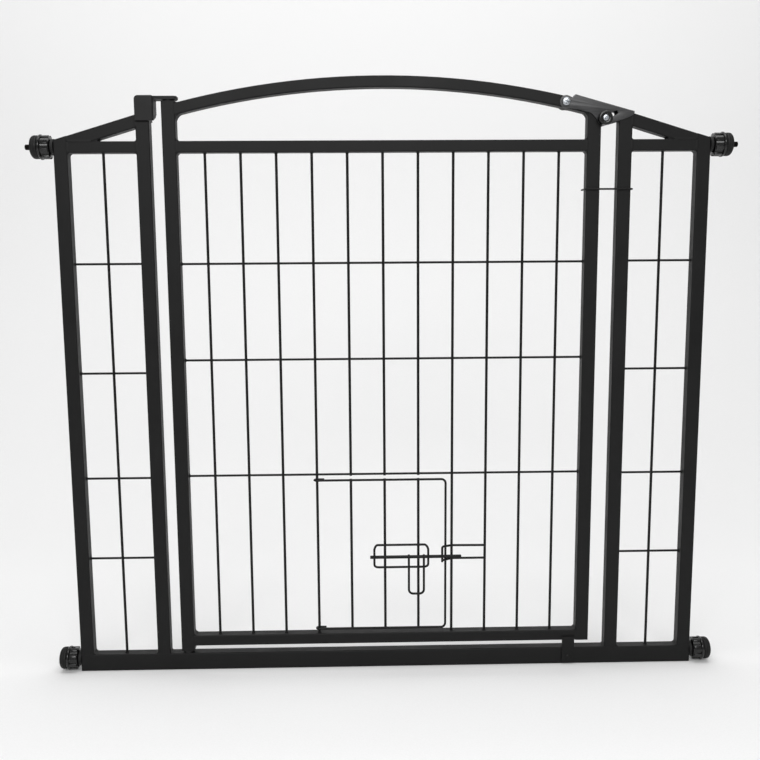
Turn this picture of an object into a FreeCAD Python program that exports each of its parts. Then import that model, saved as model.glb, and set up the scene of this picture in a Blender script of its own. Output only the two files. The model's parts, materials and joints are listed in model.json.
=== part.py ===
import FreeCAD, Part
import math
import os

# Pressure-mounted walk-through pet gate, in millimetres.
# X runs along the gate, Y through its depth (the front is -Y), Z is up.
# The origin is on the underside of the threshold, midway between the outer
# posts and at the middle of the tubes' depth.

V = FreeCAD.Vector
X_AXIS = V(1, 0, 0)
Y_AXIS = V(0, 1, 0)
Z_AXIS = V(0, 0, 1)
ORIGIN = V(0, 0, 0)

# Overall sizes
frame_width = 866.0            # over the two outer posts
gate_height = 812.8            # floor to the top of the arch
arch_above_rail = 82.3         # top of the arch over the top of the rails
arch_rise = 36.0               # middle of the arch over its ends

# Tubes
tube_depth = 16.0
tube_wall = 1.2
tube_corner = 1.5              # outer corner radius of every tube
post_width = 18.0              # posts and door stiles
rail_height = 15.0
slant_thickness = 16.0
threshold_height = 24.0

# Gaps and openings
left_panel_opening = 90.0
right_panel_opening = 87.0
hinge_gap = 16.0
latch_gap = 23.7
door_floor_gap = 10.9          # threshold to the door's bottom rail
stile_floor_gap = 3.9          # threshold to the foot of the hinge stile

# Wires
upright_wire = 3.2
cross_wire = 2.6
wire_pitch = 46.95
weld_sink = 0.25               # how deep two crossing wires melt together
door_edge_gap = 30.0           # least gap from a stile to the first wire
door_cross_heights = (278.7, 440.2, 570.6)
panel_cross_heights = (161.9, 276.6, 423.3, 571.2)

# Sloping shoulder rails
slant_over_rail = 1.7          # outer end of the slope over the side rail
web_over_stile = 2.5           # lever's web over the latch stile's top corner
web_over_post = 0.66           # lever's web over the inner post's top corner
web_slope = 0.2758

# Hinges of the door
hinge_pin_radius = 3.5
hinge_fit = 0.05               # radial running clearance
bush_length = 14.0
stile_over_arch = 7.1          # hinge stile's top over the arch's end
cap_wall = 4.0
cap_side_wall = 6.5
cap_over_stile = 6.8
cap_under_post_top = 13.5
arm_thickness = 4.0
arm_depth = 18.0
arm_reach = 11.4               # tip of the arm past the hinge axis
arm_round = 4.0
arm_taper = (3.0, 2.2)         # length and height of the cut under the arm's tip
cap_round = 2.4
cap_inset = 0.5                # cap's left end to the post's left face
pin_short = 2.0                # hinge pins end this much before the bush does
hinge_washer_radius = 7.5
washer_play = 0.2

# Latch lever
sheet = 1.5
side_play = 0.3                # lever's side plates to the tube faces
pivot_from_stile = 47.5        # pivot bolt to the outer face of the stile
pivot_radius = 2.5
pivot_head_radius = 5.35
pivot_head_height = 3.2
pivot_head_round = 2.2
pivot_tail = 4.0               # pivot bolt's thread behind the lever
bolt_play = 0.2                # under the pivot bolt's head
cross_slot_length = 5.2
cross_slot_width = 1.1
nut_across = 8.0
nut_height = 3.2
lever_nose_radius = 8.3
lever_past_post = 1.4
lever_waist = ((18.4, -10.2), (27.5, -13.0))               # from the pivot
lever_lobe = ((-17.5, 7.6), (-13.4, 3.6))                  # from the lock pin
lever_belly = ((0.15, -6.6), (0.45, -3.3), (0.78, 1.0))    # share of its length, height
lever_tail = (1.3, 4.7)        # in from the end, over the lock pin
lever_web_start = 13.0         # web's start past the pivot
lever_shoulder = (8.6, 0.4)    # past the pivot, under the arch's top line
knob_from_stile = 3.2          # lock pin, at rest, to the outer face of the stile
knob_below_pivot = 21.8
pin_radius = 2.3
slot_play = 0.1
slot_end_gap = 2.2             # end of the slot to the inner post
slot_angle = math.radians(26.5)
knob_radius = 9.3
knob_height = 9.0
knob_round = 2.0
knob_play = 0.3                # knob and nut to the lever's plates
knob_screw_radius = 4.0
knob_screw_height = 1.6
knob_screw_sink = 1.0          # screw head's seat under the knob's face
knob_screw_round = 1.2

# Threshold catch
catch_width = 17.4
catch_from_stile = 20.0        # catch's outer edge to the latch stile's face
catch_top_lap = 6.0            # height of the catch in front of the door rail
catch_play = 0.4
catch_thickness = 2.0
catch_foot = 2.5               # catch's lower edge over the floor
rivet_radius = 2.4
rivet_head_height = 1.6
rivet_tail = 2.0               # rivet's shank inside the threshold's wall
rivet_share = 0.45             # rivet's height as a share of the threshold's

# Wall mounts
mount_height_low = 17.0
mount_over_rail_foot = 8.5     # upper mounts' axis over the foot of the side rail
spindle_radius = 5.0
spindle_fit = 0.05
spindle_neck_radius = 4.4      # through the bumper's face
spindle_neck = 4.0
spindle_inside = 46.0
spindle_tip_radius = 3.85
spindle_tip_length = 6.0
collar_radius = 10.5
collar_length = 4.4
collar_stem_radius = 6.0
wheel_play = 0.3
wheel_core_radius = 13.6
wheel_lug_radius = 15.1
wheel_ridge_radius = 16.4
wheel_length = 15.4
wheel_edge = 1.0               # chamfer on the wheel's inner end
wheel_ridge_share = 0.71       # ridge's start as a share of the wheel's length
wheel_ridge_width = 2.0
wheel_ridge_slope = 0.6
wheel_lugs = 8
wheel_lug_width = 6.4
wheel_lug_inset = 0.8          # lugs' inner ends to the wheel's
wheel_lug_root = 3.0           # how deep the lugs reach into the core
wheel_lug_outset = 0.2         # lugs' outer ends past the ridge's start
bumper_radius = 15.2
bumper_length = 9.6
bumper_side = 5.4              # straight part of the bumper's side
bumper_dome = ((7.6, 0.9), (8.9, 2.6))     # from its start, inside its radius
bumper_face_radius = 10.5

# Small pet door
pet_half_pitches = 2           # wires from the middle wire to each side of the opening
pet_side_gap = 9.0             # pet door's free side to the wire beside it
pet_top_gap = 7.3              # pet door's top wire below the lowest cross wire
pet_floor_gap = 5.7            # pet door's bottom wire over the bottom rail
pet_frame_wire = 2.8
pet_corner = 6.0
eye_play = 0.1
eye_tail = 9.8
bolt_radius = 2.3
bolt_length = 128.0
bolt_past_strike = 13.0
bolt_height = 161.2
rod_play = 0.3                 # bolt rod to its frame, guide and keeper
guide_wire = 2.6
guide_left = 15.2              # guide's left side from the middle wire
guide_right = 13.2             # guide's right side from the wire beside the bolt
guide_half_height = 16.2
guide_step = 5.4               # run of the guide's slanted corners
guide_straight = 3.0           # half of the guide's upright sides
guide_bend = 2.4
handle_right_gap = 5.8
handle_width = 21.1
handle_drop = 54.0
handle_corner = 6.0
eye_band = 1.0
eye_band_width = 2.8
bore_past_eye = 9.0            # reaches past both eyes when the bore is cut
keeper_top = 14.2              # keeper's wires above and below the bolt
keeper_bottom = 4.2
keeper_tail = 6.7
keeper_past_strike = 14.2
keeper_bend = 2.0

# Loose clip round the latch stile and the inner post
clip_wire = 2.2
clip_below_rail = 49.7         # clip under the foot of the top rail
clip_side_play = 0.5
clip_front_play = 0.3
clip_past_tubes = 2.5
clip_bend = 2.2

# Places worked out from the sizes above
half_width = frame_width / 2
half_depth = tube_depth / 2
left_post_x = -half_width + post_width + left_panel_opening
hinge_side_x = left_post_x + post_width
door_left = hinge_side_x + hinge_gap
right_post_x = half_width - post_width - right_panel_opening
latch_side_x = right_post_x - post_width
door_right = latch_side_x - latch_gap
stile_left_inner = door_left + post_width
stile_right_inner = door_right - post_width
hinge_x = door_left + post_width / 2
rail_top = gate_height - arch_above_rail
rail_bottom = rail_top - rail_height
mount_height_high = rail_bottom + mount_over_rail_foot
clip_height = rail_bottom - clip_below_rail
door_bottom = threshold_height + door_floor_gap
door_rail_top = door_bottom + rail_height
door_middle = (stile_left_inner + stile_right_inner) / 2
arch_half_span = (door_right - door_left) / 2 - post_width / 2
arch_radius = (arch_half_span ** 2 + arch_rise ** 2) / (2 * arch_rise)
arch_centre_x = (door_left + door_right) / 2
arch_centre_z = gate_height - arch_radius


def arch_z(x, radius=arch_radius):
    return arch_centre_z + math.sqrt(radius ** 2 - (x - arch_centre_x) ** 2)


latch_stile_top = arch_z(door_right)
hinge_stile_top = arch_z(door_left) + stile_over_arch
web_under_stile = latch_stile_top + web_over_stile
inner_post_top = web_under_stile - web_slope * latch_gap - web_over_post
outer_post_top = rail_top + slant_over_rail

door_opening = stile_right_inner - stile_left_inner
side_wires = int((door_opening / 2 - door_edge_gap) // wire_pitch)
lowest_cross = min(door_cross_heights)
cross_wire_y = upright_wire / 2 + cross_wire / 2 - weld_sink

pivot_x = door_right - pivot_from_stile
pivot_z = arch_z(pivot_x, arch_radius - rail_height / 2)
knob_x = door_right + knob_from_stile
knob_z = pivot_z - knob_below_pivot
slot_half = pin_radius + slot_play
slot_travel = (latch_gap - knob_from_stile - slot_half - slot_end_gap) / math.cos(slot_angle)
plate_y = half_depth + side_play

pet_hinge_x = door_middle - pet_half_pitches * wire_pitch
strike_x = door_middle + pet_half_pitches * wire_pitch
keeper_x = strike_x + wire_pitch
pet_right_x = strike_x - pet_side_gap
pet_top_z = lowest_cross - pet_top_gap
pet_bottom_z = door_rail_top + pet_floor_gap
eye_radius = upright_wire / 2 + pet_frame_wire / 2 + eye_play
pet_frame_y = -eye_radius
bolt_y = pet_frame_y - pet_frame_wire / 2 - bolt_radius - rod_play
bolt_end_x = strike_x + bolt_past_strike
guide_flat_y = -(upright_wire / 2 + guide_wire / 2 - weld_sink)
guide_bow_y = bolt_y - bolt_radius - guide_wire / 2 - rod_play
guide_wire_x = door_middle + wire_pitch


# Basic shapes

def rounded_rectangle(width, height, radius):
    w = width / 2
    h = height / 2
    r = radius
    k = r * (1 - math.sqrt(0.5))
    edges = []
    corners = [(1, 1), (-1, 1), (-1, -1), (1, -1)]
    for i, (sx, sy) in enumerate(corners):
        along_y = i % 2 == 0
        first = V(sx * w, sy * (h - r), 0) if along_y else V(sx * (w - r), sy * h, 0)
        last = V(sx * (w - r), sy * h, 0) if along_y else V(sx * w, sy * (h - r), 0)
        middle = V(sx * (w - k), sy * (h - k), 0)
        edges.append(Part.Arc(first, middle, last).toShape())
        nx, ny = corners[(i + 1) % 4]
        following = V(nx * (w - r), ny * h, 0) if along_y else V(nx * w, ny * (h - r), 0)
        edges.append(Part.LineSegment(last, following).toShape())
    return Part.Wire(edges)


def bar(width, height, length, radius):
    return Part.Face(rounded_rectangle(width, height, radius)).extrude(V(0, 0, length))


def tube(width, height, length):
    # a rectangular tube along +Z, centred on the axis, from z = 0
    outer = bar(width, height, length, tube_corner)
    inner = Part.makeBox(width - 2 * tube_wall, height - 2 * tube_wall, length)
    inner.translate(V(-width / 2 + tube_wall, -height / 2 + tube_wall, 0))
    return outer.cut(inner)


def upright_tube(x_low, z_low, z_high):
    piece = tube(post_width, tube_depth, z_high - z_low)
    piece.translate(V(x_low + post_width / 2, 0, z_low))
    return piece


def level_tube(x_low, x_high, z_low, height):
    piece = tube(height, tube_depth, x_high - x_low)
    piece.rotate(ORIGIN, Y_AXIS, 90)
    piece.translate(V(x_low, 0, z_low + height / 2))
    return piece


def outline_plate(points, y_low, thickness):
    # a flat plate from an outline in the XZ plane
    loop = [V(x, y_low, z) for x, z in points]
    return Part.Face(Part.makePolygon(loop + loop[:1])).extrude(V(0, thickness, 0))


def box_between(low, high):
    return Part.makeBox(high[0] - low[0], high[1] - low[1], high[2] - low[2], V(*low))


def rod_x(x_low, x_high, y, z, radius):
    return Part.makeCylinder(radius, x_high - x_low, V(x_low, y, z), X_AXIS)


def rod_y(x, y_low, y_high, z, radius):
    return Part.makeCylinder(radius, y_high - y_low, V(x, y_low, z), Y_AXIS)


def rod_z(x, y, z_low, z_high, radius):
    return Part.makeCylinder(radius, z_high - z_low, V(x, y, z_low), Z_AXIS)


def sweep_round(edges, radius):
    # a round wire along edges that join smoothly
    path = Part.Wire(edges)
    start = edges[0].valueAt(edges[0].FirstParameter)
    heading = edges[0].tangentAt(edges[0].FirstParameter)
    ring = Part.Wire([Part.makeCircle(radius, start, heading)])
    return path.makePipeShell([ring], True, False)


def bent_path(points, bend):
    # straight runs through the points, joined by arcs of radius bend
    points = [V(*p) for p in points]
    edges = []
    last = points[0]
    for before, corner, after in zip(points, points[1:], points[2:]):
        inward = (before - corner).normalize()
        outward = (after - corner).normalize()
        half = inward.getAngle(outward) / 2
        setback = bend / math.tan(half)
        start = corner + inward * setback
        end = corner + outward * setback
        bisector = (inward + outward).normalize()
        middle = corner + bisector * (bend / math.sin(half) - bend)
        edges.append(Part.LineSegment(last, start).toShape())
        edges.append(Part.Arc(start, middle, end).toShape())
        last = end
    edges.append(Part.LineSegment(last, points[-1]).toShape())
    return edges


def bent_wire(points, diameter, bend):
    return sweep_round(bent_path(points, bend), diameter / 2)


def mirror_x(shape):
    return shape.mirror(ORIGIN, X_AXIS)


def fused(first, *others):
    return first.fuse(list(others)).removeSplitter()


nodes = {}


# Side panels, drawn for the left side and mirrored for the right

def panel_line(inner_face, depth=0.0):
    # top line of the sloping shoulder, lowered by depth across the slope
    run = half_width + inner_face
    slope = (inner_post_top - outer_post_top) / run
    drop = depth * math.sqrt(1 + slope ** 2)
    return lambda x: outer_post_top + slope * (x + half_width) - drop


def closed_post(x_low, line, cover):
    # a post whose top follows the shoulder's slope and is closed by a plate
    x_high = x_low + post_width
    tall = gate_height
    outer = bar(post_width, tube_depth, tall, tube_corner)
    outer.translate(V(x_low + post_width / 2, 0, threshold_height))
    above = [(x_low, line(x_low)), (x_high, line(x_high)), (x_high, 2 * tall), (x_low, 2 * tall)]
    outer = outer.cut(outline_plate(above, -half_depth, tube_depth))
    a = x_low + tube_wall
    b = x_high - tube_wall
    inside = [(a, threshold_height), (b, threshold_height), (b, cover(b)), (a, cover(a))]
    return outer.cut(outline_plate(inside, -half_depth + tube_wall, tube_depth - 2 * tube_wall))


def slanted_rail(x_low, x_high, line_at):
    band = []
    for depth in (0.0, slant_thickness):
        line = line_at(depth)
        band.append([(x_low, line(x_low)), (x_high, line(x_high))])
    solid = outline_plate(band[0] + band[1][::-1], -half_depth, tube_depth)
    long_edges = []
    for edge in solid.Edges:
        ends = [v.Point for v in edge.Vertexes]
        if abs(ends[0].x - ends[1].x) > post_width:
            long_edges.append(edge)
    solid = solid.makeFillet(tube_corner, long_edges)
    band = []
    for depth in (tube_wall, slant_thickness - tube_wall):
        line = line_at(depth)
        band.append([(x_low, line(x_low)), (x_high, line(x_high))])
    hollow = outline_plate(band[0] + band[1][::-1], -half_depth + tube_wall, tube_depth - 2 * tube_wall)
    below = box_between((x_low - 1, -tube_depth, 0), (x_high + 1, tube_depth, rail_top))
    return solid.cut(hollow).cut(below)


def side_panel(opening):
    inner_low = -half_width + post_width + opening
    inner_face = inner_low + post_width
    rail_low = -half_width + post_width

    def line_at(depth):
        return panel_line(inner_face, depth)

    outer_post = closed_post(-half_width, line_at(0.0), line_at(tube_wall))
    inner_post = closed_post(inner_low, line_at(0.0), line_at(tube_wall))
    high = mount_height_high
    stem_hole = rod_x(-half_width - 1, -half_width + tube_wall, 0, high, collar_stem_radius)
    through = rod_x(-half_width, rail_low + 1, 0, high, spindle_radius + slot_play)
    outer_post = outer_post.cut(stem_hole).cut(through)
    rail = level_tube(rail_low, inner_low, rail_bottom, rail_height)
    slant = slanted_rail(rail_low, inner_low, line_at)
    middle = (rail_low + inner_low) / 2
    upright = rod_z(middle, 0, threshold_height, rail_bottom, upright_wire / 2)
    crossings = []
    for z in panel_cross_heights:
        crossings.append(rod_x(rail_low, inner_low, cross_wire_y, z, cross_wire / 2))
    return {
        "outer_post": outer_post,
        "inner_post": inner_post,
        "top_rail": rail,
        "shoulder_rail": slant,
        "upright_wire": upright,
        "cross_wires": Part.makeCompound(crossings),
    }


for name, shape in side_panel(left_panel_opening).items():
    nodes["left_" + name] = shape
for name, shape in side_panel(right_panel_opening).items():
    nodes["right_" + name] = mirror_x(shape)


# Threshold with its door catch

catch_high = door_right - catch_from_stile
catch_low = catch_high - catch_width
catch_middle = (catch_low + catch_high) / 2
rivet_z = threshold_height * rivet_share
catch_front = -half_depth - catch_thickness

threshold = level_tube(-half_width, half_width, 0, threshold_height)
threshold = threshold.cut(rod_y(catch_middle, -half_depth - 1, 0, rivet_z, rivet_radius))
nodes["threshold_rail"] = threshold

catch = box_between((catch_low, catch_front, catch_foot),
                    (catch_high, -half_depth, door_bottom + catch_top_lap))
relief = box_between((catch_low - 1, -half_depth - catch_play, threshold_height),
                     (catch_high + 1, 0, door_rail_top))
catch = catch.cut(relief).cut(rod_y(catch_middle, -tube_depth, 0, rivet_z, rivet_radius))
nodes["threshold_catch"] = catch

dome = 2 * rivet_radius
rivet_head = Part.makeSphere(dome)
rivet_head = rivet_head.common(Part.makeBox(2 * dome, rivet_head_height, 2 * dome,
                                            V(-dome, -dome, -dome)))
rivet_head.translate(V(catch_middle, catch_front - rivet_head_height + dome, rivet_z))
rivet_end = -half_depth + tube_wall + rivet_tail
shank = rod_y(catch_middle, catch_front, rivet_end, rivet_z, rivet_radius)
nodes["catch_rivet"] = fused(rivet_head, shank)


# Door: stiles, rails, arch and wires

nodes["door_hinge_stile"] = upright_tube(door_left, threshold_height + stile_floor_gap, hinge_stile_top)

arch_disc = rod_y(arch_centre_x, -half_depth, half_depth, arch_centre_z, arch_radius)
latch_stile = upright_tube(stile_right_inner, door_bottom, gate_height)
nodes["door_latch_stile"] = latch_stile.common(arch_disc)


def arch_band(outer_radius, inner_radius, depth, corner):
    section = rounded_rectangle(outer_radius - inner_radius, depth, corner)
    section = Part.Face(section)
    section.translate(V((outer_radius + inner_radius) / 2, 0, 0))
    section.rotate(ORIGIN, Y_AXIS, -45)
    band = section.revolve(ORIGIN, Y_AXIS, -90)
    band.translate(V(arch_centre_x, 0, arch_centre_z))
    return band


arch = arch_band(arch_radius, arch_radius - rail_height, tube_depth, tube_corner)
arch = arch.cut(arch_band(arch_radius - tube_wall, arch_radius - rail_height + tube_wall,
                          tube_depth - 2 * tube_wall, 0.2))
arch = arch.common(box_between((stile_left_inner, -tube_depth, 0),
                               (stile_right_inner, tube_depth, 2 * gate_height)))
arch = arch.cut(rod_y(pivot_x, -tube_depth, tube_depth, pivot_z, pivot_radius))
nodes["door_arch_rail"] = arch

nodes["door_top_rail"] = level_tube(stile_left_inner, stile_right_inner, rail_bottom, rail_height)
nodes["door_bottom_rail"] = level_tube(stile_left_inner, stile_right_inner, door_bottom, rail_height)

uprights = []
for i in range(-side_wires, side_wires + 1):
    foot = door_rail_top
    if abs(i) < pet_half_pitches:
        foot = lowest_cross - cross_wire / 2 - weld_sink
    uprights.append(rod_z(door_middle + i * wire_pitch, 0, foot, rail_bottom, upright_wire / 2))
nodes["door_upright_wires"] = Part.makeCompound(uprights)

crossings = []
for z in door_cross_heights:
    crossings.append(rod_x(stile_left_inner, stile_right_inner, cross_wire_y, z, cross_wire / 2))
nodes["door_cross_wires"] = Part.makeCompound(crossings)


# Hinges of the door

def stile_bush(z_low):
    z_high = z_low + bush_length
    block = box_between((door_left + tube_wall, -half_depth + tube_wall, z_low),
                        (stile_left_inner - tube_wall, half_depth - tube_wall, z_high))
    return block.cut(rod_z(hinge_x, 0, z_low - 1, z_high + 1, hinge_pin_radius + hinge_fit))


arm_low = hinge_stile_top + 2 * washer_play + sheet
arm_high = arm_low + arm_thickness
cap_top = hinge_stile_top + cap_over_stile
cap_bottom = inner_post_top - cap_under_post_top
cap_left = left_post_x + cap_inset
cap_right = hinge_side_x + cap_side_wall
cap_half_depth = half_depth + cap_wall

cap = box_between((cap_left, -cap_half_depth, cap_bottom), (cap_right, cap_half_depth, cap_top))
cap_edges = []
for edge in cap.Edges:
    middle = edge.CenterOfMass
    outside = middle.x > cap_left + 1 or middle.z > cap_top - 1
    if outside and middle.z > cap_bottom + 1:
        cap_edges.append(edge)
cap = cap.makeFillet(cap_round, cap_edges)
arm_tip = hinge_x + arm_reach
arm = box_between((cap_right - cap_side_wall, -arm_depth / 2, arm_low),
                  (arm_tip, arm_depth / 2, arm_high))
tip_edges = []
for edge in arm.Edges:
    middle = edge.CenterOfMass
    if abs(middle.x - arm_tip) < 0.01 and abs(middle.z - arm_low - arm_thickness / 2) < 0.01:
        tip_edges.append(edge)
arm = arm.makeFillet(arm_round, tip_edges)
taper_length, taper_height = arm_taper
taper = [(arm_tip + 1, arm_low - 1), (arm_tip + 1, arm_low + taper_height),
         (arm_tip - taper_length, arm_low), (arm_tip - taper_length, arm_low - 1)]
arm = arm.cut(outline_plate(taper, -arm_depth, 2 * arm_depth))
cap = fused(cap, arm)
post_room = [(cap_left - 1, 0), (hinge_side_x, 0), (hinge_side_x, inner_post_top)]
post_room.append((cap_left - 1, panel_line(hinge_side_x)(cap_left - 1)))
cap = cap.cut(outline_plate(post_room, -half_depth, tube_depth))
cap = cap.cut(rod_z(hinge_x, 0, arm_low - 1, arm_high + 1, hinge_pin_radius))
nodes["hinge_cap"] = cap

upper_pin_foot = hinge_stile_top - bush_length + pin_short
nodes["upper_hinge_pin"] = rod_z(hinge_x, 0, upper_pin_foot, arm_high, hinge_pin_radius)
washer_foot = hinge_stile_top + washer_play
washer = rod_z(hinge_x, 0, washer_foot, washer_foot + sheet, hinge_washer_radius)
washer = washer.cut(rod_z(hinge_x, 0, hinge_stile_top, arm_low, hinge_pin_radius))
nodes["upper_hinge_washer"] = washer
nodes["upper_hinge_bush"] = stile_bush(hinge_stile_top - bush_length)

stile_foot = threshold_height + stile_floor_gap
lower_pin_top = stile_foot + bush_length - pin_short
nodes["lower_hinge_pin"] = rod_z(hinge_x, 0, threshold_height, lower_pin_top, hinge_pin_radius)
spacer = rod_z(hinge_x, 0, threshold_height, stile_foot - washer_play, hinge_washer_radius)
spacer = spacer.cut(rod_z(hinge_x, 0, threshold_height - 1, stile_foot, hinge_pin_radius))
nodes["lower_hinge_spacer"] = spacer
nodes["lower_hinge_bush"] = stile_bush(stile_foot)


# Latch lever: one folded sheet, an upside-down channel over the arch's end

def web_z(x):
    return web_under_stile - web_slope * (x - door_right)


def arc_points(cx, cz, radius, start, end, steps):
    points = []
    for i in range(steps + 1):
        angle = math.radians(start + (end - start) * i / steps)
        points.append((cx + radius * math.cos(angle), cz + radius * math.sin(angle)))
    return points


lever_end = right_post_x + lever_past_post
web_start = pivot_x + lever_web_start
web_drop = sheet * math.sqrt(1 + web_slope ** 2)


def lever_side():
    # outline of a side plate: nose round the pivot, waist, knob lobe, tail
    belly = lever_end - knob_x
    points = arc_points(pivot_x, pivot_z, lever_nose_radius, 76, 282, 12)
    for dx, dz in lever_waist:
        points.append((pivot_x + dx, pivot_z + dz))
    for dx, dz in lever_lobe:
        points.append((knob_x + dx, knob_z + dz))
    points += arc_points(knob_x, knob_z, knob_radius - knob_play, 192, 258, 5)
    for share, dz in lever_belly:
        points.append((knob_x + belly * share, knob_z + dz))
    points.append((lever_end - lever_tail[0], knob_z + lever_tail[1]))
    points.append((lever_end, web_z(lever_end)))
    points.append((web_start, web_z(web_start)))
    shoulder_x = pivot_x + lever_shoulder[0]
    points.append((shoulder_x, arch_z(shoulder_x) - lever_shoulder[1]))
    return points


def slot_cutter(half):
    end_x = knob_x + slot_travel * math.cos(slot_angle)
    end_z = knob_z + slot_travel * math.sin(slot_angle)
    dx = half * math.sin(slot_angle)
    dz = half * math.cos(slot_angle)
    bar_points = [(knob_x + dx, knob_z - dz), (end_x + dx, end_z - dz),
                  (end_x - dx, end_z + dz), (knob_x - dx, knob_z + dz)]
    depth = 2 * tube_depth
    middle = outline_plate(bar_points, -depth, 2 * depth)
    ends = [rod_y(knob_x, -depth, depth, knob_z, half), rod_y(end_x, -depth, depth, end_z, half)]
    return fused(middle, *ends)


front_plate = outline_plate(lever_side(), -plate_y - sheet, sheet)
back_plate = outline_plate(lever_side(), plate_y, sheet)
web_outline = [(web_start, web_z(web_start)), (lever_end, web_z(lever_end)),
               (lever_end, web_z(lever_end) + web_drop), (web_start, web_z(web_start) + web_drop)]
web = outline_plate(web_outline, -plate_y - sheet, 2 * (plate_y + sheet))
web_edges = []
for edge in web.Edges:
    middle = edge.CenterOfMass
    along = abs(edge.Vertexes[0].Point.x - edge.Vertexes[1].Point.x) > post_width
    if along and middle.z > web_z(middle.x) + web_drop / 2:
        web_edges.append(edge)
web = web.makeFillet(sheet * 0.8, web_edges)
lever = fused(front_plate, back_plate, web)
lever = lever.cut(rod_y(pivot_x, -2 * tube_depth, 2 * tube_depth, pivot_z, pivot_radius + hinge_fit))
lever = lever.cut(slot_cutter(slot_half))
nodes["latch_lever"] = lever

bolt_face = plate_y + sheet + bolt_play
pivot_shank = rod_y(pivot_x, -bolt_face, bolt_face + pivot_tail, pivot_z, pivot_radius)
pivot_head = rod_y(pivot_x, -bolt_face - pivot_head_height, -bolt_face, pivot_z, pivot_head_radius)
head_rim = []
for edge in pivot_head.Edges:
    if abs(edge.CenterOfMass.y + bolt_face + pivot_head_height) < 0.01:
        head_rim.append(edge)
pivot_head = pivot_head.makeFillet(pivot_head_round, head_rim)
slot_floor = -bolt_face - pivot_head_height / 2
a = cross_slot_length / 2
b = cross_slot_width / 2
cross_slot = box_between((pivot_x - a, -2 * bolt_face, pivot_z - b),
                         (pivot_x + a, slot_floor, pivot_z + b))
cross_slot = cross_slot.fuse(box_between((pivot_x - b, -2 * bolt_face, pivot_z - a),
                                         (pivot_x + b, slot_floor, pivot_z + a)))
nodes["latch_pivot_bolt"] = fused(pivot_shank, pivot_head).cut(cross_slot)


def hex_nut(x, z, y_low, bore):
    corners = arc_points(x, z, nut_across / math.sqrt(3), 0, 300, 5)
    nut = outline_plate(corners, y_low, nut_height)
    return nut.cut(rod_y(x, y_low - 1, y_low + nut_height + 1, z, bore))


nodes["latch_pivot_nut"] = hex_nut(pivot_x, pivot_z, bolt_face, pivot_radius)


# Lock pin: a screw through the lever's slots, with a thumb knob

knob_face = -plate_y - sheet - knob_play
knob_end = knob_face - knob_height
knob = rod_y(knob_x, knob_end, knob_face, knob_z, knob_radius)
knob_rim = []
for edge in knob.Edges:
    if abs(edge.CenterOfMass.y - knob_end) < 0.01:
        knob_rim.append(edge)
knob = knob.makeFillet(knob_round, knob_rim)
screw_seat = knob_end + knob_screw_sink
knob = knob.cut(rod_y(knob_x, knob_end - 1, screw_seat, knob_z, knob_screw_radius))
knob = knob.cut(rod_y(knob_x, knob_end, knob_face + 1, knob_z, pin_radius))
nodes["lock_knob"] = knob

screw_head = rod_y(knob_x, screw_seat - knob_screw_height, screw_seat, knob_z, knob_screw_radius)
head_rim = []
for edge in screw_head.Edges:
    if abs(edge.CenterOfMass.y - screw_seat + knob_screw_height) < 0.01:
        head_rim.append(edge)
screw_head = screw_head.makeFillet(knob_screw_round, head_rim)
lock_nut_y = plate_y + sheet + knob_play
pin_shank = rod_y(knob_x, screw_seat, lock_nut_y + nut_height, knob_z, pin_radius)
nodes["lock_pin"] = fused(screw_head, pin_shank)
nodes["lock_pin_nut"] = hex_nut(knob_x, knob_z, lock_nut_y, pin_radius)


# Small pet door, hung on one of the door's wires

def eye_edges(z, tail_first):
    tail = V(pet_hinge_x + eye_tail, eye_radius, z)
    behind = V(pet_hinge_x, eye_radius, z)
    left = V(pet_hinge_x - eye_radius, 0, z)
    front = V(pet_hinge_x, -eye_radius, z)
    if tail_first:
        return [Part.LineSegment(tail, behind).toShape(), Part.Arc(behind, left, front).toShape()]
    return [Part.Arc(front, left, behind).toShape(), Part.LineSegment(behind, tail).toShape()]


pet_loop = [(pet_hinge_x, pet_frame_y, pet_top_z), (pet_right_x, pet_frame_y, pet_top_z),
            (pet_right_x, pet_frame_y, pet_bottom_z), (pet_hinge_x, pet_frame_y, pet_bottom_z)]
pet_edges = eye_edges(pet_top_z, True) + bent_path(pet_loop, pet_corner) + eye_edges(pet_bottom_z, False)
nodes["pet_door_frame"] = sweep_round(pet_edges, pet_frame_wire / 2)

pet_upright_y = pet_frame_y + pet_frame_wire / 2 + upright_wire / 2 - weld_sink
pet_uprights = []
pet_foot = pet_bottom_z - pet_frame_wire / 2
pet_head = pet_top_z + pet_frame_wire / 2
for i in range(1 - pet_half_pitches, pet_half_pitches):
    x = door_middle + i * wire_pitch
    pet_uprights.append(rod_z(x, pet_upright_y, pet_foot, pet_head, upright_wire / 2))
nodes["pet_door_uprights"] = Part.makeCompound(pet_uprights)


# Slide bolt of the pet door: guide, rod, handle and keeper

def guide_half(x_side, sign):
    # half of the guide loop, from the middle of its top to the middle of its foot
    middle_x = (guide_x_low + guide_x_high) / 2
    flat_y = pet_upright_y + guide_flat_y
    between_y = (flat_y + guide_bow_y) / 2
    top = bolt_height + guide_half_height
    foot = bolt_height - guide_half_height
    points = [(middle_x, flat_y, top),
              (x_side - sign * guide_step, flat_y, top),
              (x_side, between_y, top - guide_step),
              (x_side, guide_bow_y, bolt_height + guide_straight),
              (x_side, guide_bow_y, bolt_height - guide_straight),
              (x_side, between_y, foot + guide_step),
              (x_side - sign * guide_step, flat_y, foot),
              (middle_x, flat_y, foot)]
    return bent_wire(points, guide_wire, guide_bend)


guide_x_low = door_middle - guide_left
guide_x_high = guide_wire_x + guide_right
nodes["bolt_guide_loop"] = guide_half(guide_x_low, -1).fuse(guide_half(guide_x_high, 1))

nodes["pet_bolt_rod"] = rod_x(bolt_end_x - bolt_length, bolt_end_x, bolt_y, bolt_height, bolt_radius)

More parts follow.
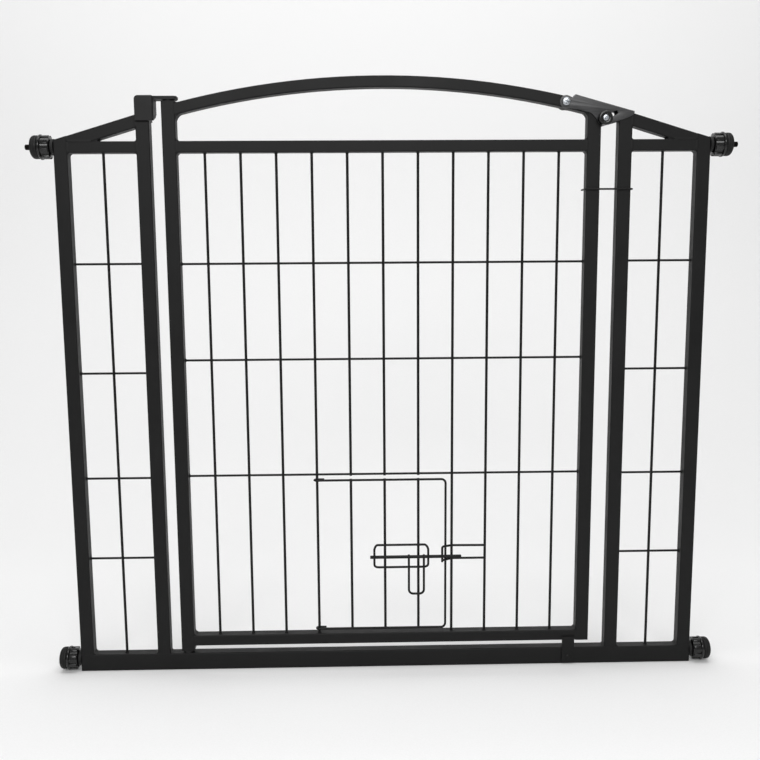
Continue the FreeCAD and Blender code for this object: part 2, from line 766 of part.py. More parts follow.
handle_right = guide_x_high - handle_right_gap
handle_left = handle_right - handle_width
band_inner = bolt_radius + hinge_fit
band_outer = band_inner + eye_band
leg_top = bolt_height - band_inner - eye_band / 2
handle_foot = bolt_height - handle_drop
handle_path = [(handle_left, bolt_y, leg_top), (handle_left, bolt_y, handle_foot),
               (handle_right, bolt_y, handle_foot), (handle_right, bolt_y, leg_top)]
handle = bent_wire(handle_path, guide_wire, handle_corner)
for x in (handle_left, handle_right):
    band = rod_x(x - eye_band_width / 2, x + eye_band_width / 2, bolt_y, bolt_height, band_outer)
    handle = handle.fuse(band)
bore = rod_x(handle_left - bore_past_eye, handle_right + bore_past_eye, bolt_y, bolt_height,
             band_inner)
nodes["pet_bolt_handle"] = handle.cut(bore)

keeper_flat_y = guide_flat_y
keeper_left = strike_x - keeper_past_strike
keeper_front_y = bolt_y - bolt_radius - guide_wire / 2 - rod_play
upper_z = bolt_height + keeper_top
lower_z = bolt_height - keeper_bottom
top_leg = [(keeper_x, keeper_flat_y, upper_z), (strike_x, keeper_flat_y, upper_z),
           (keeper_left, keeper_front_y, upper_z),
           (keeper_left, keeper_front_y, bolt_height - keeper_tail)]
low_leg = [(keeper_x, keeper_flat_y, lower_z), (strike_x, keeper_flat_y, lower_z),
           (keeper_left, keeper_front_y, lower_z)]
keeper = bent_wire(top_leg, guide_wire, keeper_bend)
nodes["pet_door_keeper"] = keeper.fuse(bent_wire(low_leg, guide_wire, keeper_bend))


# Loose wire clip round the latch stile and the inner post

clip_left = stile_right_inner - clip_side_play - clip_wire / 2
clip_right = right_post_x + clip_side_play + clip_wire / 2
clip_front = -half_depth - clip_front_play - clip_wire / 2
clip_back = half_depth + clip_past_tubes
clip_path = [(clip_left, clip_back, clip_height), (clip_left, clip_front, clip_height),
             (clip_right, clip_front, clip_height), (clip_right, clip_back, clip_height)]
nodes["retaining_clip"] = bent_wire(clip_path, clip_wire, clip_bend)


# Wall mounts, drawn for the right side and mirrored for the left

wheel_start = half_width + collar_length + wheel_play
wheel_end = wheel_start + wheel_length
bumper_start = wheel_end + wheel_play
bumper_end = bumper_start + bumper_length


def revolved(points, z):
    # a solid of revolution about the mount's axis, from (x, radius) points
    face = Part.Face(Part.makePolygon([V(x, 0, r) for x, r in points + points[:1]]))
    solid = face.revolve(ORIGIN, X_AXIS, 360)
    solid.translate(V(0, 0, z))
    return solid


def collar(z, high):
    flange = rod_x(half_width, half_width + collar_length, 0, z, collar_radius)
    if high:
        stem = rod_x(half_width - tube_wall, half_width, 0, z, collar_stem_radius)
    else:
        reach = half_depth - tube_wall
        stem = box_between((half_width - post_width / 2, -reach, tube_wall),
                           (half_width, reach, threshold_height - tube_wall))
        flange = flange.common(box_between((half_width, -tube_depth, z - collar_radius),
                                           (half_width + collar_length, tube_depth, 2 * z)))
    solid = fused(flange, stem)
    return solid.cut(rod_x(half_width - tube_depth, wheel_end, 0, z, spindle_radius + spindle_fit))


def hand_wheel(z):
    bore = spindle_radius + spindle_fit
    ridge = wheel_start + wheel_length * wheel_ridge_share
    ridge_low = ridge + wheel_ridge_slope
    ridge_high = ridge_low + wheel_ridge_width
    points = [(wheel_start, bore),
              (wheel_start, wheel_core_radius - wheel_edge),
              (wheel_start + wheel_edge, wheel_core_radius),
              (ridge, wheel_core_radius),
              (ridge_low, wheel_ridge_radius),
              (ridge_high, wheel_ridge_radius),
              (ridge_high + wheel_ridge_slope, wheel_lug_radius),
              (wheel_end, wheel_lug_radius),
              (wheel_end, bore)]
    wheel = revolved(points, z)
    lug_start = wheel_start + wheel_lug_inset
    lug_length = ridge + wheel_lug_outset - lug_start
    lug_height = wheel_lug_radius - wheel_core_radius + wheel_lug_root
    lugs = []
    for i in range(wheel_lugs):
        corner = V(lug_start, -wheel_lug_width / 2, wheel_core_radius - wheel_lug_root)
        lug = Part.makeBox(lug_length, wheel_lug_width, lug_height, corner)
        lug.rotate(ORIGIN, X_AXIS, 360.0 * (i + 0.5) / wheel_lugs)
        lug.translate(V(0, 0, z))
        lugs.append(lug)
    return fused(wheel, *lugs)


def bumper(z, high):
    points = [(bumper_start, 0), (bumper_start, bumper_radius),
              (bumper_start + bumper_side, bumper_radius)]
    for along, inside in bumper_dome:
        points.append((bumper_start + along, bumper_radius - inside))
    points += [(bumper_end, bumper_face_radius), (bumper_end, 0)]
    solid = revolved(points, z)
    solid = solid.cut(rod_x(bumper_start - 1, bumper_end - spindle_neck, 0, z, spindle_radius))
    if high:
        solid = solid.cut(rod_x(bumper_start, bumper_end + 1, 0, z, spindle_neck_radius))
    return solid


def spindle(z, high):
    shoulder = bumper_end - spindle_neck
    rod = rod_x(half_width - spindle_inside, shoulder, 0, z, spindle_radius)
    if high:
        neck = rod_x(shoulder, bumper_end, 0, z, spindle_neck_radius)
        tip = rod_x(bumper_end, bumper_end + spindle_tip_length, 0, z, spindle_tip_radius)
        rod = fused(rod, neck, tip)
    return rod


for level, z, high in (("upper", mount_height_high, True), ("lower", mount_height_low, False)):
    pieces = {
        "collar": collar(z, high),
        "hand_wheel": hand_wheel(z),
        "spindle": spindle(z, high),
        "wall_bumper": bumper(z, high),
    }
    for name, shape in pieces.items():
        nodes[level + "_right_" + name] = shape
        nodes[level + "_left_" + name] = mirror_x(shape)

os.makedirs("parts", exist_ok=True)
for name, shape in nodes.items():
    shape.exportStep("parts/" + name + ".step")
print(len(nodes), "nodes")
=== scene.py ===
import json
import math
import bpy
import bmesh
from mathutils import Matrix, Vector


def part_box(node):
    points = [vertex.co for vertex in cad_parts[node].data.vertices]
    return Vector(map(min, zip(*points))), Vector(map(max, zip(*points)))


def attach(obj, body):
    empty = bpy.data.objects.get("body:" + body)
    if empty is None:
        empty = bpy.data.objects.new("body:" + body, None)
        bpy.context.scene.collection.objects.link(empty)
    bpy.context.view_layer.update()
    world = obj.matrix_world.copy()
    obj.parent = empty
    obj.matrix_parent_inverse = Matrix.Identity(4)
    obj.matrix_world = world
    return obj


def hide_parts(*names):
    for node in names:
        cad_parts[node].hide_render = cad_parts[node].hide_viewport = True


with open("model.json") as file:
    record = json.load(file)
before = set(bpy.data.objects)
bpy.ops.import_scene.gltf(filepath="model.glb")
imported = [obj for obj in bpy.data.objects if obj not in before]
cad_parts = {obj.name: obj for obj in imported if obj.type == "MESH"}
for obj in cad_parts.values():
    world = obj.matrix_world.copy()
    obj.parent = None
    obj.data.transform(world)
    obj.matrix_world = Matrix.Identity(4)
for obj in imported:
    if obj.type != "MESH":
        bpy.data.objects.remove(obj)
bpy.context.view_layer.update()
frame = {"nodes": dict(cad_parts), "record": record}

# Walk-through pet gate. Pieces are drawn in millimetres and brought to metres when they are finished.
mm = 0.001
print("frame loaded:", len(frame["nodes"]), "nodes")


def lowOf(node):
    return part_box(node)[0] / mm


def highOf(node):
    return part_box(node)[1] / mm


def middleOf(node):
    return (lowOf(node) + highOf(node)) / 2


def linearColour(hexColour):
    channels = [int(hexColour[i:i + 2], 16) / 255 for i in (1, 3, 5)]
    return tuple(c / 12.92 if c <= 0.04045 else ((c + 0.055) / 1.055) ** 2.4 for c in channels) + (1.0,)


def addNode(tree, kind, settings=None, links=None):
    # lower-case names are the node's own settings, anything else is a socket
    node = tree.nodes.new(kind)
    for name, value in (settings or {}).items():
        if isinstance(name, str) and name[0].islower():
            setattr(node, name, value)
        else:
            node.inputs[name].default_value = value
    for name, source in (links or {}).items():
        tree.links.new(source, node.inputs[name])
    return node


# finishes

def newFinish(name, colour, roughness, metallic=0.0, specular=0.5):
    material = bpy.data.materials.new(name)
    material.use_nodes = True
    tree = material.node_tree
    tree.nodes.clear()
    shader = addNode(tree, "ShaderNodeBsdfPrincipled", {
        "Base Color": linearColour(colour), "Roughness": roughness, "Metallic": metallic,
        "Specular IOR Level": specular})
    addNode(tree, "ShaderNodeOutputMaterial", links={"Surface": shader.outputs[0]})
    place = addNode(tree, "ShaderNodeTexCoord").outputs["Object"]
    return material, tree, shader, place


def blended(tree, amount, low, high):
    # two colours, from low to high, by an amount from 0 to 1
    ramp = addNode(tree, "ShaderNodeValToRGB", links={"Fac": amount})
    ramp.color_ramp.elements[0].position, ramp.color_ramp.elements[0].color = low[0], linearColour(low[1])
    ramp.color_ramp.elements[1].position, ramp.color_ramp.elements[1].color = high[0], linearColour(high[1])
    return ramp.outputs["Color"]


def ranged(tree, amount, fromLow, fromHigh, toLow, toHigh):
    return addNode(tree, "ShaderNodeMapRange", {1: fromLow, 2: fromHigh, 3: toLow, 4: toHigh},
                   {"Value": amount}).outputs["Result"]


def perMetre(sizeInMm):
    # how many pattern cells a metre holds when one is this many millimetres across
    return 1000.0 / sizeInMm


def dressed(tree, shader, colour, roughness, relief, strength, reliefMm):
    # ties a finish's colour and roughness patterns to its shader, with the bumps of a finer one
    tree.links.new(colour, shader.inputs["Base Color"])
    tree.links.new(roughness, shader.inputs["Roughness"])
    bump = addNode(tree, "ShaderNodeBump", {"Strength": strength, "Distance": reliefMm * mm},
                   {"Height": relief})
    tree.links.new(bump.outputs[0], shader.inputs["Normal"])


def powderCoatedSteel():
    # polyester powder baked on tube: satin, faint orange peel, a few bright specks and cloudy sheen
    look = {"colour": "#0C0C0C", "cloud": "#121212", "fleck": "#29292A", "roughness": 0.5, "peelMm": 1.1,
            "cloudMm": 55.0, "speckMm": 1.6, "peelHeightMm": 0.05}
    material, tree, shader, place = newFinish("powder_coated_steel", look["colour"], look["roughness"],
                                              specular=0.22)
    cloud = addNode(tree, "ShaderNodeTexNoise", {"Scale": perMetre(look["cloudMm"]), "Detail": 4.0,
                                                 "Roughness": 0.6}, {"Vector": place})
    # real peel cells are near 0.6 mm: drawn at 1.1 mm so that they show
    peel = addNode(tree, "ShaderNodeTexNoise", {"Scale": perMetre(look["peelMm"]), "Detail": 2.0,
                                                "Roughness": 0.5}, {"Vector": place})
    speck = addNode(tree, "ShaderNodeTexVoronoi", {"Scale": perMetre(look["speckMm"]), "Randomness": 1.0},
                    {"Vector": place})
    base = blended(tree, cloud.outputs[0], (0.35, look["colour"]), (0.68, look["cloud"]))
    fleck = ranged(tree, speck.outputs["Distance"], 0.05, 0.14, 0.35, 0.0)
    mixed = addNode(tree, "ShaderNodeMix", {"data_type": "RGBA", 7: linearColour(look["fleck"])},
                    {0: fleck, 6: base})
    sheen = ranged(tree, cloud.outputs[0], 0.3, 0.7, look["roughness"] - 0.06, look["roughness"] + 0.07)
    dressed(tree, shader, mixed.outputs[2], sheen, peel.outputs[0], 0.35, look["peelHeightMm"])
    return material


def coatedWire():
    # the same powder on thin drawn wire: it flows together, so the coat is glossier and a little wavy
    look = {"colour": "#080808", "cloud": "#0E0E0E", "roughness": 0.4, "runMm": 7.0, "peelMm": 0.9,
            "reliefMm": 0.05}
    material, tree, shader, place = newFinish("coated_drawn_wire", look["colour"], look["roughness"],
                                              specular=0.22)
    run = addNode(tree, "ShaderNodeTexNoise", {"Scale": perMetre(look["runMm"]), "Detail": 3.0},
                  {"Vector": place})
    peel = addNode(tree, "ShaderNodeTexNoise", {"Scale": perMetre(look["peelMm"]), "Detail": 1.0},
                   {"Vector": place})
    tint = blended(tree, run.outputs[0], (0.35, look["colour"]), (0.7, look["cloud"]))
    sheen = ranged(tree, run.outputs[0], 0.3, 0.7, look["roughness"] - 0.07, look["roughness"] + 0.1)
    dressed(tree, shader, tint, sheen, peel.outputs[0], 0.3, look["reliefMm"])
    return material


def coatedSheet():
    # pressed sheet whose coat colour is set lighter than the tube coat as painted sheen: the rolled grain shows
    # through as faint long streaks
    look = {"colour": "#2B2B2C", "streak": "#3C3C3D", "roughness": 0.38, "grainAngle": -15.4,
            "streakMm": 1.4, "peelMm": 1.0, "reliefMm": 0.04}
    material, tree, shader, place = newFinish("coated_sheet_painted_sheen", look["colour"], look["roughness"])
    along = addNode(tree, "ShaderNodeMapping", {
        "Rotation": (0.0, math.radians(look["grainAngle"]), 0.0), "Scale": (0.08, 1.0, 1.0)}, {"Vector": place})
    streak = addNode(tree, "ShaderNodeTexNoise", {"Scale": perMetre(look["streakMm"]), "Detail": 4.0,
                                                  "Roughness": 0.65}, {"Vector": along.outputs[0]})
    peel = addNode(tree, "ShaderNodeTexNoise", {"Scale": perMetre(look["peelMm"]), "Detail": 2.0},
                   {"Vector": place})
    # the lighter base colour is painted sheen on the plate; the lighter streaks follow the rolled grain
    tint = blended(tree, streak.outputs[0], (0.35, look["colour"]), (0.7, look["streak"]))
    sheen = ranged(tree, streak.outputs[0], 0.3, 0.7, look["roughness"] - 0.08, look["roughness"] + 0.08)
    dressed(tree, shader, tint, sheen, peel.outputs[0], 0.3, look["reliefMm"])
    return material


def mouldedNylon():
    # glass-filled nylon from a spark-eroded mould: fine even grain, dull sheen
    look = {"colour": "#0B0B0B", "worn": "#141414", "roughness": 0.58, "grainMm": 0.7, "patchMm": 18.0,
            "reliefMm": 0.06}
    material, tree, shader, place = newFinish("moulded_nylon", look["colour"], look["roughness"],
                                              specular=0.3)
    grain = addNode(tree, "ShaderNodeTexVoronoi", {"Scale": perMetre(look["grainMm"])}, {"Vector": place})
    patch = addNode(tree, "ShaderNodeTexNoise", {"Scale": perMetre(look["patchMm"]), "Detail": 5.0,
                                                 "Roughness": 0.6}, {"Vector": place})
    tint = blended(tree, patch.outputs[0], (0.4, look["colour"]), (0.72, look["worn"]))
    sheen = ranged(tree, patch.outputs[0], 0.3, 0.7, look["roughness"] - 0.1, look["roughness"] + 0.06)
    dressed(tree, shader, tint, sheen, grain.outputs["Distance"], 0.4, look["reliefMm"])
    return material


def polishedPolypropylene():
    # polypropylene from a polished mould: glossy, with soft flow waves and hair-fine handling scratches
    look = {"colour": "#070707", "scuffed": "#161616", "roughness": 0.16, "waveMm": 9.0, "scratchMm": 0.8,
            "waveHeightMm": 0.12}
    material, tree, shader, place = newFinish("polished_polypropylene", look["colour"], look["roughness"])
    wave = addNode(tree, "ShaderNodeTexNoise", {"Scale": perMetre(look["waveMm"]), "Detail": 2.0},
                   {"Vector": place})
    drawn = addNode(tree, "ShaderNodeMapping", {"Rotation": (0.4, 0.9, 0.3), "Scale": (1.0, 0.05, 1.0)},
                    {"Vector": place})
    scratch = addNode(tree, "ShaderNodeTexNoise", {"Scale": perMetre(look["scratchMm"]), "Detail": 3.0,
                                                   "Roughness": 0.7}, {"Vector": drawn.outputs[0]})
    scuff = ranged(tree, scratch.outputs[0], 0.62, 0.72, 0.0, 0.5)
    mixed = addNode(tree, "ShaderNodeMix", {"data_type": "RGBA", 6: linearColour(look["colour"]),
                                            7: linearColour(look["scuffed"])}, {0: scuff})
    sheen = ranged(tree, scratch.outputs[0], 0.45, 0.75, look["roughness"], look["roughness"] + 0.22)
    dressed(tree, shader, mixed.outputs[2], sheen, wave.outputs[0], 0.25, look["waveHeightMm"])
    return material


def bumperRubber():
    # moulded thermoplastic rubber: soft dark matt, slightly chalky where it has rubbed
    look = {"colour": "#0A0A0A", "chalk": "#1C1C1C", "roughness": 0.62, "grainMm": 0.5, "rubMm": 6.0,
            "reliefMm": 0.05}
    material, tree, shader, place = newFinish("moulded_rubber", look["colour"], look["roughness"], specular=0.3)
    rub = addNode(tree, "ShaderNodeTexNoise", {"Scale": perMetre(look["rubMm"]), "Detail": 6.0,
                                               "Roughness": 0.7}, {"Vector": place})
    grain = addNode(tree, "ShaderNodeTexNoise", {"Scale": perMetre(look["grainMm"]), "Detail": 2.0},
                    {"Vector": place})
    tint = blended(tree, rub.outputs[0], (0.5, look["colour"]), (0.78, look["chalk"]))
    sheen = ranged(tree, rub.outputs[0], 0.35, 0.7, look["roughness"] - 0.12, look["roughness"] + 0.12)
    dressed(tree, shader, tint, sheen, grain.outputs[0], 0.4, look["reliefMm"])
    return material


def brightZincPlate():
    # clear-passivated zinc on turned and cold-headed steel: bright, faintly cloudy, fine turning rings
    look = {"colour": "#C9CDD1", "cloud": "#A4A8AE", "roughness": 0.24, "cloudMm": 2.4, "ringMm": 0.35,
            "reliefMm": 0.02}
    material, tree, shader, place = newFinish("bright_zinc_plate", look["colour"], look["roughness"],
                                              metallic=1.0)
    cloud = addNode(tree, "ShaderNodeTexNoise", {"Scale": perMetre(look["cloudMm"]), "Detail": 5.0,
                                                 "Roughness": 0.65}, {"Vector": place})
    ring = addNode(tree, "ShaderNodeTexNoise", {"Scale": perMetre(look["ringMm"]), "Detail": 2.0},
                   {"Vector": place})
    tint = blended(tree, cloud.outputs[0], (0.4, look["cloud"]), (0.6, look["colour"]))
    sheen = ranged(tree, cloud.outputs[0], 0.3, 0.7, look["roughness"] - 0.07, look["roughness"] + 0.14)
    dressed(tree, shader, tint, sheen, ring.outputs[0], 0.2, look["reliefMm"])
    return material


def blackenedSteel():
    # black oxide on turned steel, oiled: near black, brown-grey where the thread crests have rubbed
    look = {"colour": "#0B0B0B", "rubbed": "#24211F", "roughness": 0.34, "rubMm": 1.5, "ringMm": 0.4,
            "reliefMm": 0.02}
    material, tree, shader, place = newFinish("blackened_steel", look["colour"], look["roughness"],
                                              metallic=1.0)
    rub = addNode(tree, "ShaderNodeTexNoise", {"Scale": perMetre(look["rubMm"]), "Detail": 4.0,
                                               "Roughness": 0.6}, {"Vector": place})
    ring = addNode(tree, "ShaderNodeTexNoise", {"Scale": perMetre(look["ringMm"]), "Detail": 2.0},
                   {"Vector": place})
    tint = blended(tree, rub.outputs[0], (0.45, look["colour"]), (0.7, look["rubbed"]))
    sheen = ranged(tree, rub.outputs[0], 0.3, 0.7, look["roughness"] - 0.08, look["roughness"] + 0.14)
    dressed(tree, shader, tint, sheen, ring.outputs[0], 0.2, look["reliefMm"])
    return material


finishes = {
    "powder_coat": powderCoatedSteel(),
    "coated_wire": coatedWire(),
    "coated_sheet": coatedSheet(),
    "moulded_plastic": mouldedNylon(),
    "gloss_plastic": polishedPolypropylene(),
    "bumper_rubber": bumperRubber(),
    "zinc_steel": brightZincPlate(),
    "blackened_steel": blackenedSteel(),
}
slotOfNode = {row["node"]: row["material_slot"] for row in frame["record"]["subparts"]}
for nodeName, node in frame["nodes"].items():
    node.data.materials.clear()
    node.data.materials.append(finishes[slotOfNode[nodeName]])
print("finishes made:", len(finishes))


# making and finishing pieces

def placed(name, data):
    thing = bpy.data.objects.new(name, data)
    bpy.context.scene.collection.objects.link(thing)
    return thing


def newPiece(name, points, faces=(), edges=()):
    mesh = bpy.data.meshes.new(name)
    mesh.from_pydata([tuple(p) for p in points], list(edges), [tuple(f) for f in faces])
    return placed(name, mesh)


def plainMesh(piece):
    # what the modifiers make of a piece, as a plain mesh
    bpy.context.view_layer.update()
    graph = bpy.context.evaluated_depsgraph_get()
    mesh = bpy.data.meshes.new_from_object(piece.evaluated_get(graph), depsgraph=graph)
    piece.modifiers.clear()
    return mesh


def newTree(name, sizes):
    # an empty Geometry Nodes tree with a named input for each size
    tree = bpy.data.node_groups.new(name, "GeometryNodeTree")
    tree.interface.new_socket("Geometry", in_out="INPUT", socket_type="NodeSocketGeometry")
    for label, value in sizes.items():
        kind = "NodeSocketInt" if isinstance(value, int) else "NodeSocketFloat"
        tree.interface.new_socket(label, in_out="INPUT", socket_type=kind).default_value = value
    tree.interface.new_socket("Finish", in_out="INPUT", socket_type="NodeSocketMaterial")
    tree.interface.new_socket("Geometry", in_out="OUTPUT", socket_type="NodeSocketGeometry")
    return tree, addNode(tree, "NodeGroupInput").outputs


def endTree(tree, given, geometry):
    whole = addNode(tree, "GeometryNodeRealizeInstances", links={0: geometry})
    smooth = addNode(tree, "GeometryNodeSetShadeSmooth", links={0: whole.outputs[0]})
    coat = addNode(tree, "GeometryNodeSetMaterial", links={0: smooth.outputs[0], "Material": given["Finish"]})
    addNode(tree, "NodeGroupOutput", links={0: coat.outputs[0]})
    return tree


def growBy(piece, tree, sizes, slot):
    # runs a tree on a piece and keeps the result as its plain mesh
    modifier = piece.modifiers.new("grow", "NODES")
    modifier.node_group = tree
    for item in tree.interface.items_tree:
        if item.in_out == "INPUT" and item.name in sizes:
            modifier[item.identifier] = sizes[item.name]
        elif item.in_out == "INPUT" and item.name == "Finish":
            modifier[item.identifier] = finishes[slot]
    piece.data = plainMesh(piece)
    return piece


def joined(name, pieces):
    # one piece from several, which are removed
    whole = bmesh.new()
    for piece in pieces:
        whole.from_mesh(piece.data)
        bpy.data.objects.remove(piece)
    mesh = bpy.data.meshes.new(name)
    whole.to_mesh(mesh)
    whole.free()
    return placed(name, mesh)


def facingOut(piece):
    shape = bmesh.new()
    shape.from_mesh(piece.data)
    bmesh.ops.recalc_face_normals(shape, faces=shape.faces)
    shape.to_mesh(piece.data)
    shape.free()
    return piece


def cutAway(piece, cutters):
    # the piece less the cutters, which are used up
    for cutter in cutters:
        cut = piece.modifiers.new("cut", "BOOLEAN")
        cut.operation, cut.solver, cut.object = "DIFFERENCE", "EXACT", cutter
    piece.data = plainMesh(piece)
    for cutter in cutters:
        bpy.data.objects.remove(cutter)
    return piece


def boxFrom(name, corners):
    # eight corners: four of one end, then four of the other, in the same order
    return newPiece(name, corners, [(0, 1, 2, 3), (7, 6, 5, 4), (0, 4, 5, 1), (1, 5, 6, 2), (2, 6, 7, 3),
                                    (3, 7, 4, 0)])


def loftFaces(rows):
    # a skin over rows of point numbers, with both ends closed
    faces = []
    for low, high in zip(rows, rows[1:]):
        for k in range(len(low)):
            n = (k + 1) % len(low)
            faces.append((low[k], low[n], high[n], high[k]))
    return faces + [tuple(rows[0]), tuple(reversed(rows[-1]))]


def bowed(start, pull, end, share):
    # a point of the curve that leaves start towards pull and comes to end
    return start * (1 - share) ** 2 + pull * (2 * share * (1 - share)) + end * share ** 2


def finishPiece(piece, body, slot, replaced=(), sharpAngle=38.0, outward=True):
    # brings a piece to metres, shades it, gives it its body and finish, and hides the CAD nodes it replaces
    mesh = piece.data
    if outward:
        facingOut(piece)
    mesh.transform(Matrix.Scale(mm, 4))
    mesh.materials.clear()
    mesh.materials.append(finishes[slot])
    for face in mesh.polygons:
        face.material_index = 0
        face.use_smooth = True
    mesh.set_sharp_from_angle(angle=math.radians(sharpAngle))
    mesh.update()
    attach(piece, body)
    if replaced:
        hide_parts(*replaced)
    return piece


def bevelled(piece, width, segments=2, angle=35.0):
    modifier = piece.modifiers.new("edges", "BEVEL")
    modifier.width = width
    modifier.segments = segments
    modifier.limit_method = "ANGLE"
    modifier.angle_limit = math.radians(angle)
    piece.data = plainMesh(piece)
    return piece


# trees for what repeats

def bentWireTree():
    tree, given = newTree("bentWire", {"Diameter": 3.0, "Bend radius": 6.0, "Bend steps": 7, "Sides": 16})
    line = addNode(tree, "GeometryNodeMeshToCurve", links={0: given["Geometry"]})
    bent = addNode(tree, "GeometryNodeFilletCurve", {"mode": "POLY", "Limit Radius": True},
                   {0: line.outputs[0], "Count": given["Bend steps"], "Radius": given["Bend radius"]})
    half = addNode(tree, "ShaderNodeMath", {"operation": "MULTIPLY", 1: 0.5}, {0: given["Diameter"]})
    ring = addNode(tree, "GeometryNodeCurvePrimitiveCircle", {"mode": "RADIUS"},
                   {"Resolution": given["Sides"], "Radius": half.outputs[0]})
    wire = addNode(tree, "GeometryNodeCurveToMesh", {"Fill Caps": True},
                   {"Curve": bent.outputs[0], "Profile Curve": ring.outputs[0]})
    return endTree(tree, given, wire.outputs[0])


def weldDotTree():
    # lumps of run metal where wires meet: squashed balls of slightly different sizes
    tree, given = newTree("weldDots", {"Radius": 2.0, "Variation": 0.15, "Lumpiness": 0.12, "Seed": 7})
    points = addNode(tree, "GeometryNodeMeshToPoints", links={0: given["Geometry"]})
    ball = addNode(tree, "GeometryNodeMeshIcoSphere", {"Subdivisions": 3}, {"Radius": given["Radius"]})
    low = addNode(tree, "ShaderNodeMath", {"operation": "SUBTRACT", 0: 1.0}, {1: given["Variation"]})
    high = addNode(tree, "ShaderNodeMath", {"operation": "ADD", 0: 1.0}, {1: given["Variation"]})
    size = addNode(tree, "FunctionNodeRandomValue", {"data_type": "FLOAT_VECTOR"}, {"Seed": given["Seed"]})
    tree.links.new(low.outputs[0], size.inputs[0])
    tree.links.new(high.outputs[0], size.inputs[1])
    shape = addNode(tree, "GeometryNodeInputNamedAttribute", {"data_type": "FLOAT_VECTOR", "Name": "shape"})
    scale = addNode(tree, "ShaderNodeVectorMath", {"operation": "MULTIPLY"},
                    {0: size.outputs[0], 1: shape.outputs[0]})
    dots = addNode(tree, "GeometryNodeInstanceOnPoints",
                   links={"Points": points.outputs[0], "Instance": ball.outputs[0], "Scale": scale.outputs[0]})
    whole = addNode(tree, "GeometryNodeRealizeInstances", links={0: dots.outputs[0]})
    lump = addNode(tree, "ShaderNodeTexNoise", {"Scale": 0.9, "Detail": 1.0})
    centred = addNode(tree, "ShaderNodeMath", {"operation": "SUBTRACT", 1: 0.5}, {0: lump.outputs[0]})
    amount = addNode(tree, "ShaderNodeMath", {"operation": "MULTIPLY"},
                     {0: centred.outputs[0], 1: given["Lumpiness"]})
    reach = addNode(tree, "ShaderNodeMath", {"operation": "MULTIPLY"},
                    {0: amount.outputs[0], 1: given["Radius"]})
    normal = addNode(tree, "GeometryNodeInputNormal")
    push = addNode(tree, "ShaderNodeVectorMath", {"operation": "SCALE"},
                   {0: normal.outputs[0], "Scale": reach.outputs[0]})
    moved = addNode(tree, "GeometryNodeSetPosition", links={0: whole.outputs[0], "Offset": push.outputs[0]})
    return endTree(tree, given, moved.outputs[0])


def ringOfCopiesTree():
    # copies of a part turned round the X axis
    tree, given = newTree("ringOfCopies", {"Count": 8, "First": 0.5})
    row = addNode(tree, "GeometryNodeMeshLine", {"Offset": (0.0, 0.0, 0.0)}, {"Count": given["Count"]})
    number = addNode(tree, "GeometryNodeInputIndex")
    shifted = addNode(tree, "ShaderNodeMath", {"operation": "ADD"}, {0: number.outputs[0], 1: given["First"]})
    step = addNode(tree, "ShaderNodeMath", {"operation": "DIVIDE", 0: 2 * math.pi}, {1: given["Count"]})
    turn = addNode(tree, "ShaderNodeMath", {"operation": "MULTIPLY"},
                   {0: shifted.outputs[0], 1: step.outputs[0]})
    spin = addNode(tree, "ShaderNodeCombineXYZ", links={0: turn.outputs[0]})
    copies = addNode(tree, "GeometryNodeInstanceOnPoints", links={
        "Points": row.outputs[0], "Instance": given["Geometry"], "Rotation": spin.outputs[0]})
    return endTree(tree, given, copies.outputs[0])


def screwThreadTree():
    # a V-shaped ridge wound on a core, along Z
    tree, given = newTree("screwThread", {"Core radius": 4.0, "Turns": 10.0, "Pitch": 2.0, "Steps": 24})
    length = addNode(tree, "ShaderNodeMath", {"operation": "MULTIPLY"}, {0: given["Turns"], 1: given["Pitch"]})
    helix = addNode(tree, "GeometryNodeCurveSpiral", links={
        "Resolution": given["Steps"], "Rotations": given["Turns"], "Start Radius": given["Core radius"],
        "End Radius": given["Core radius"], "Height": length.outputs[0]})
    across = addNode(tree, "ShaderNodeMath", {"operation": "MULTIPLY", 1: 0.5}, {0: given["Pitch"]})
    ridge = addNode(tree, "GeometryNodeCurvePrimitiveCircle", {"mode": "RADIUS", "Resolution": 4},
                    {"Radius": across.outputs[0]})
    wound = addNode(tree, "GeometryNodeCurveToMesh", {"Fill Caps": True},
                    {"Curve": helix.outputs[0], "Profile Curve": ridge.outputs[0]})
    return endTree(tree, given, wound.outputs[0])


wireTree = bentWireTree()
dotTree = weldDotTree()
ringTree = ringOfCopiesTree()
threadTree = screwThreadTree()


def wirePiece(name, runs, diameter, bend=0.0):
    # round wires through lists of points; a run whose last point is its first is closed
    points, edges = [], []
    for run in runs:
        closed = tuple(run[0]) == tuple(run[-1])
        corners = run[:-1] if closed else run
        first = len(points)
        points += corners
        edges += [(first + i, first + i + 1) for i in range(len(corners) - 1)]
        if closed:
            edges.append((len(points) - 1, first))
    piece = newPiece(name, points, edges=edges)
    return growBy(piece, wireTree, {"Diameter": diameter, "Bend radius": max(bend, 0.001)}, "coated_wire")


def weldDots(name, dots, radius, seed=7):
    # dots are (place, shape): a place and how far the lump is stretched along X, Y and Z
    piece = newPiece(name, [place for place, shape in dots])
    stretch = piece.data.attributes.new("shape", "FLOAT_VECTOR", "POINT")
    stretch.data.foreach_set("vector", [value for place, shape in dots for value in shape])
    return growBy(piece, dotTree, {"Radius": radius, "Seed": seed}, "coated_wire")


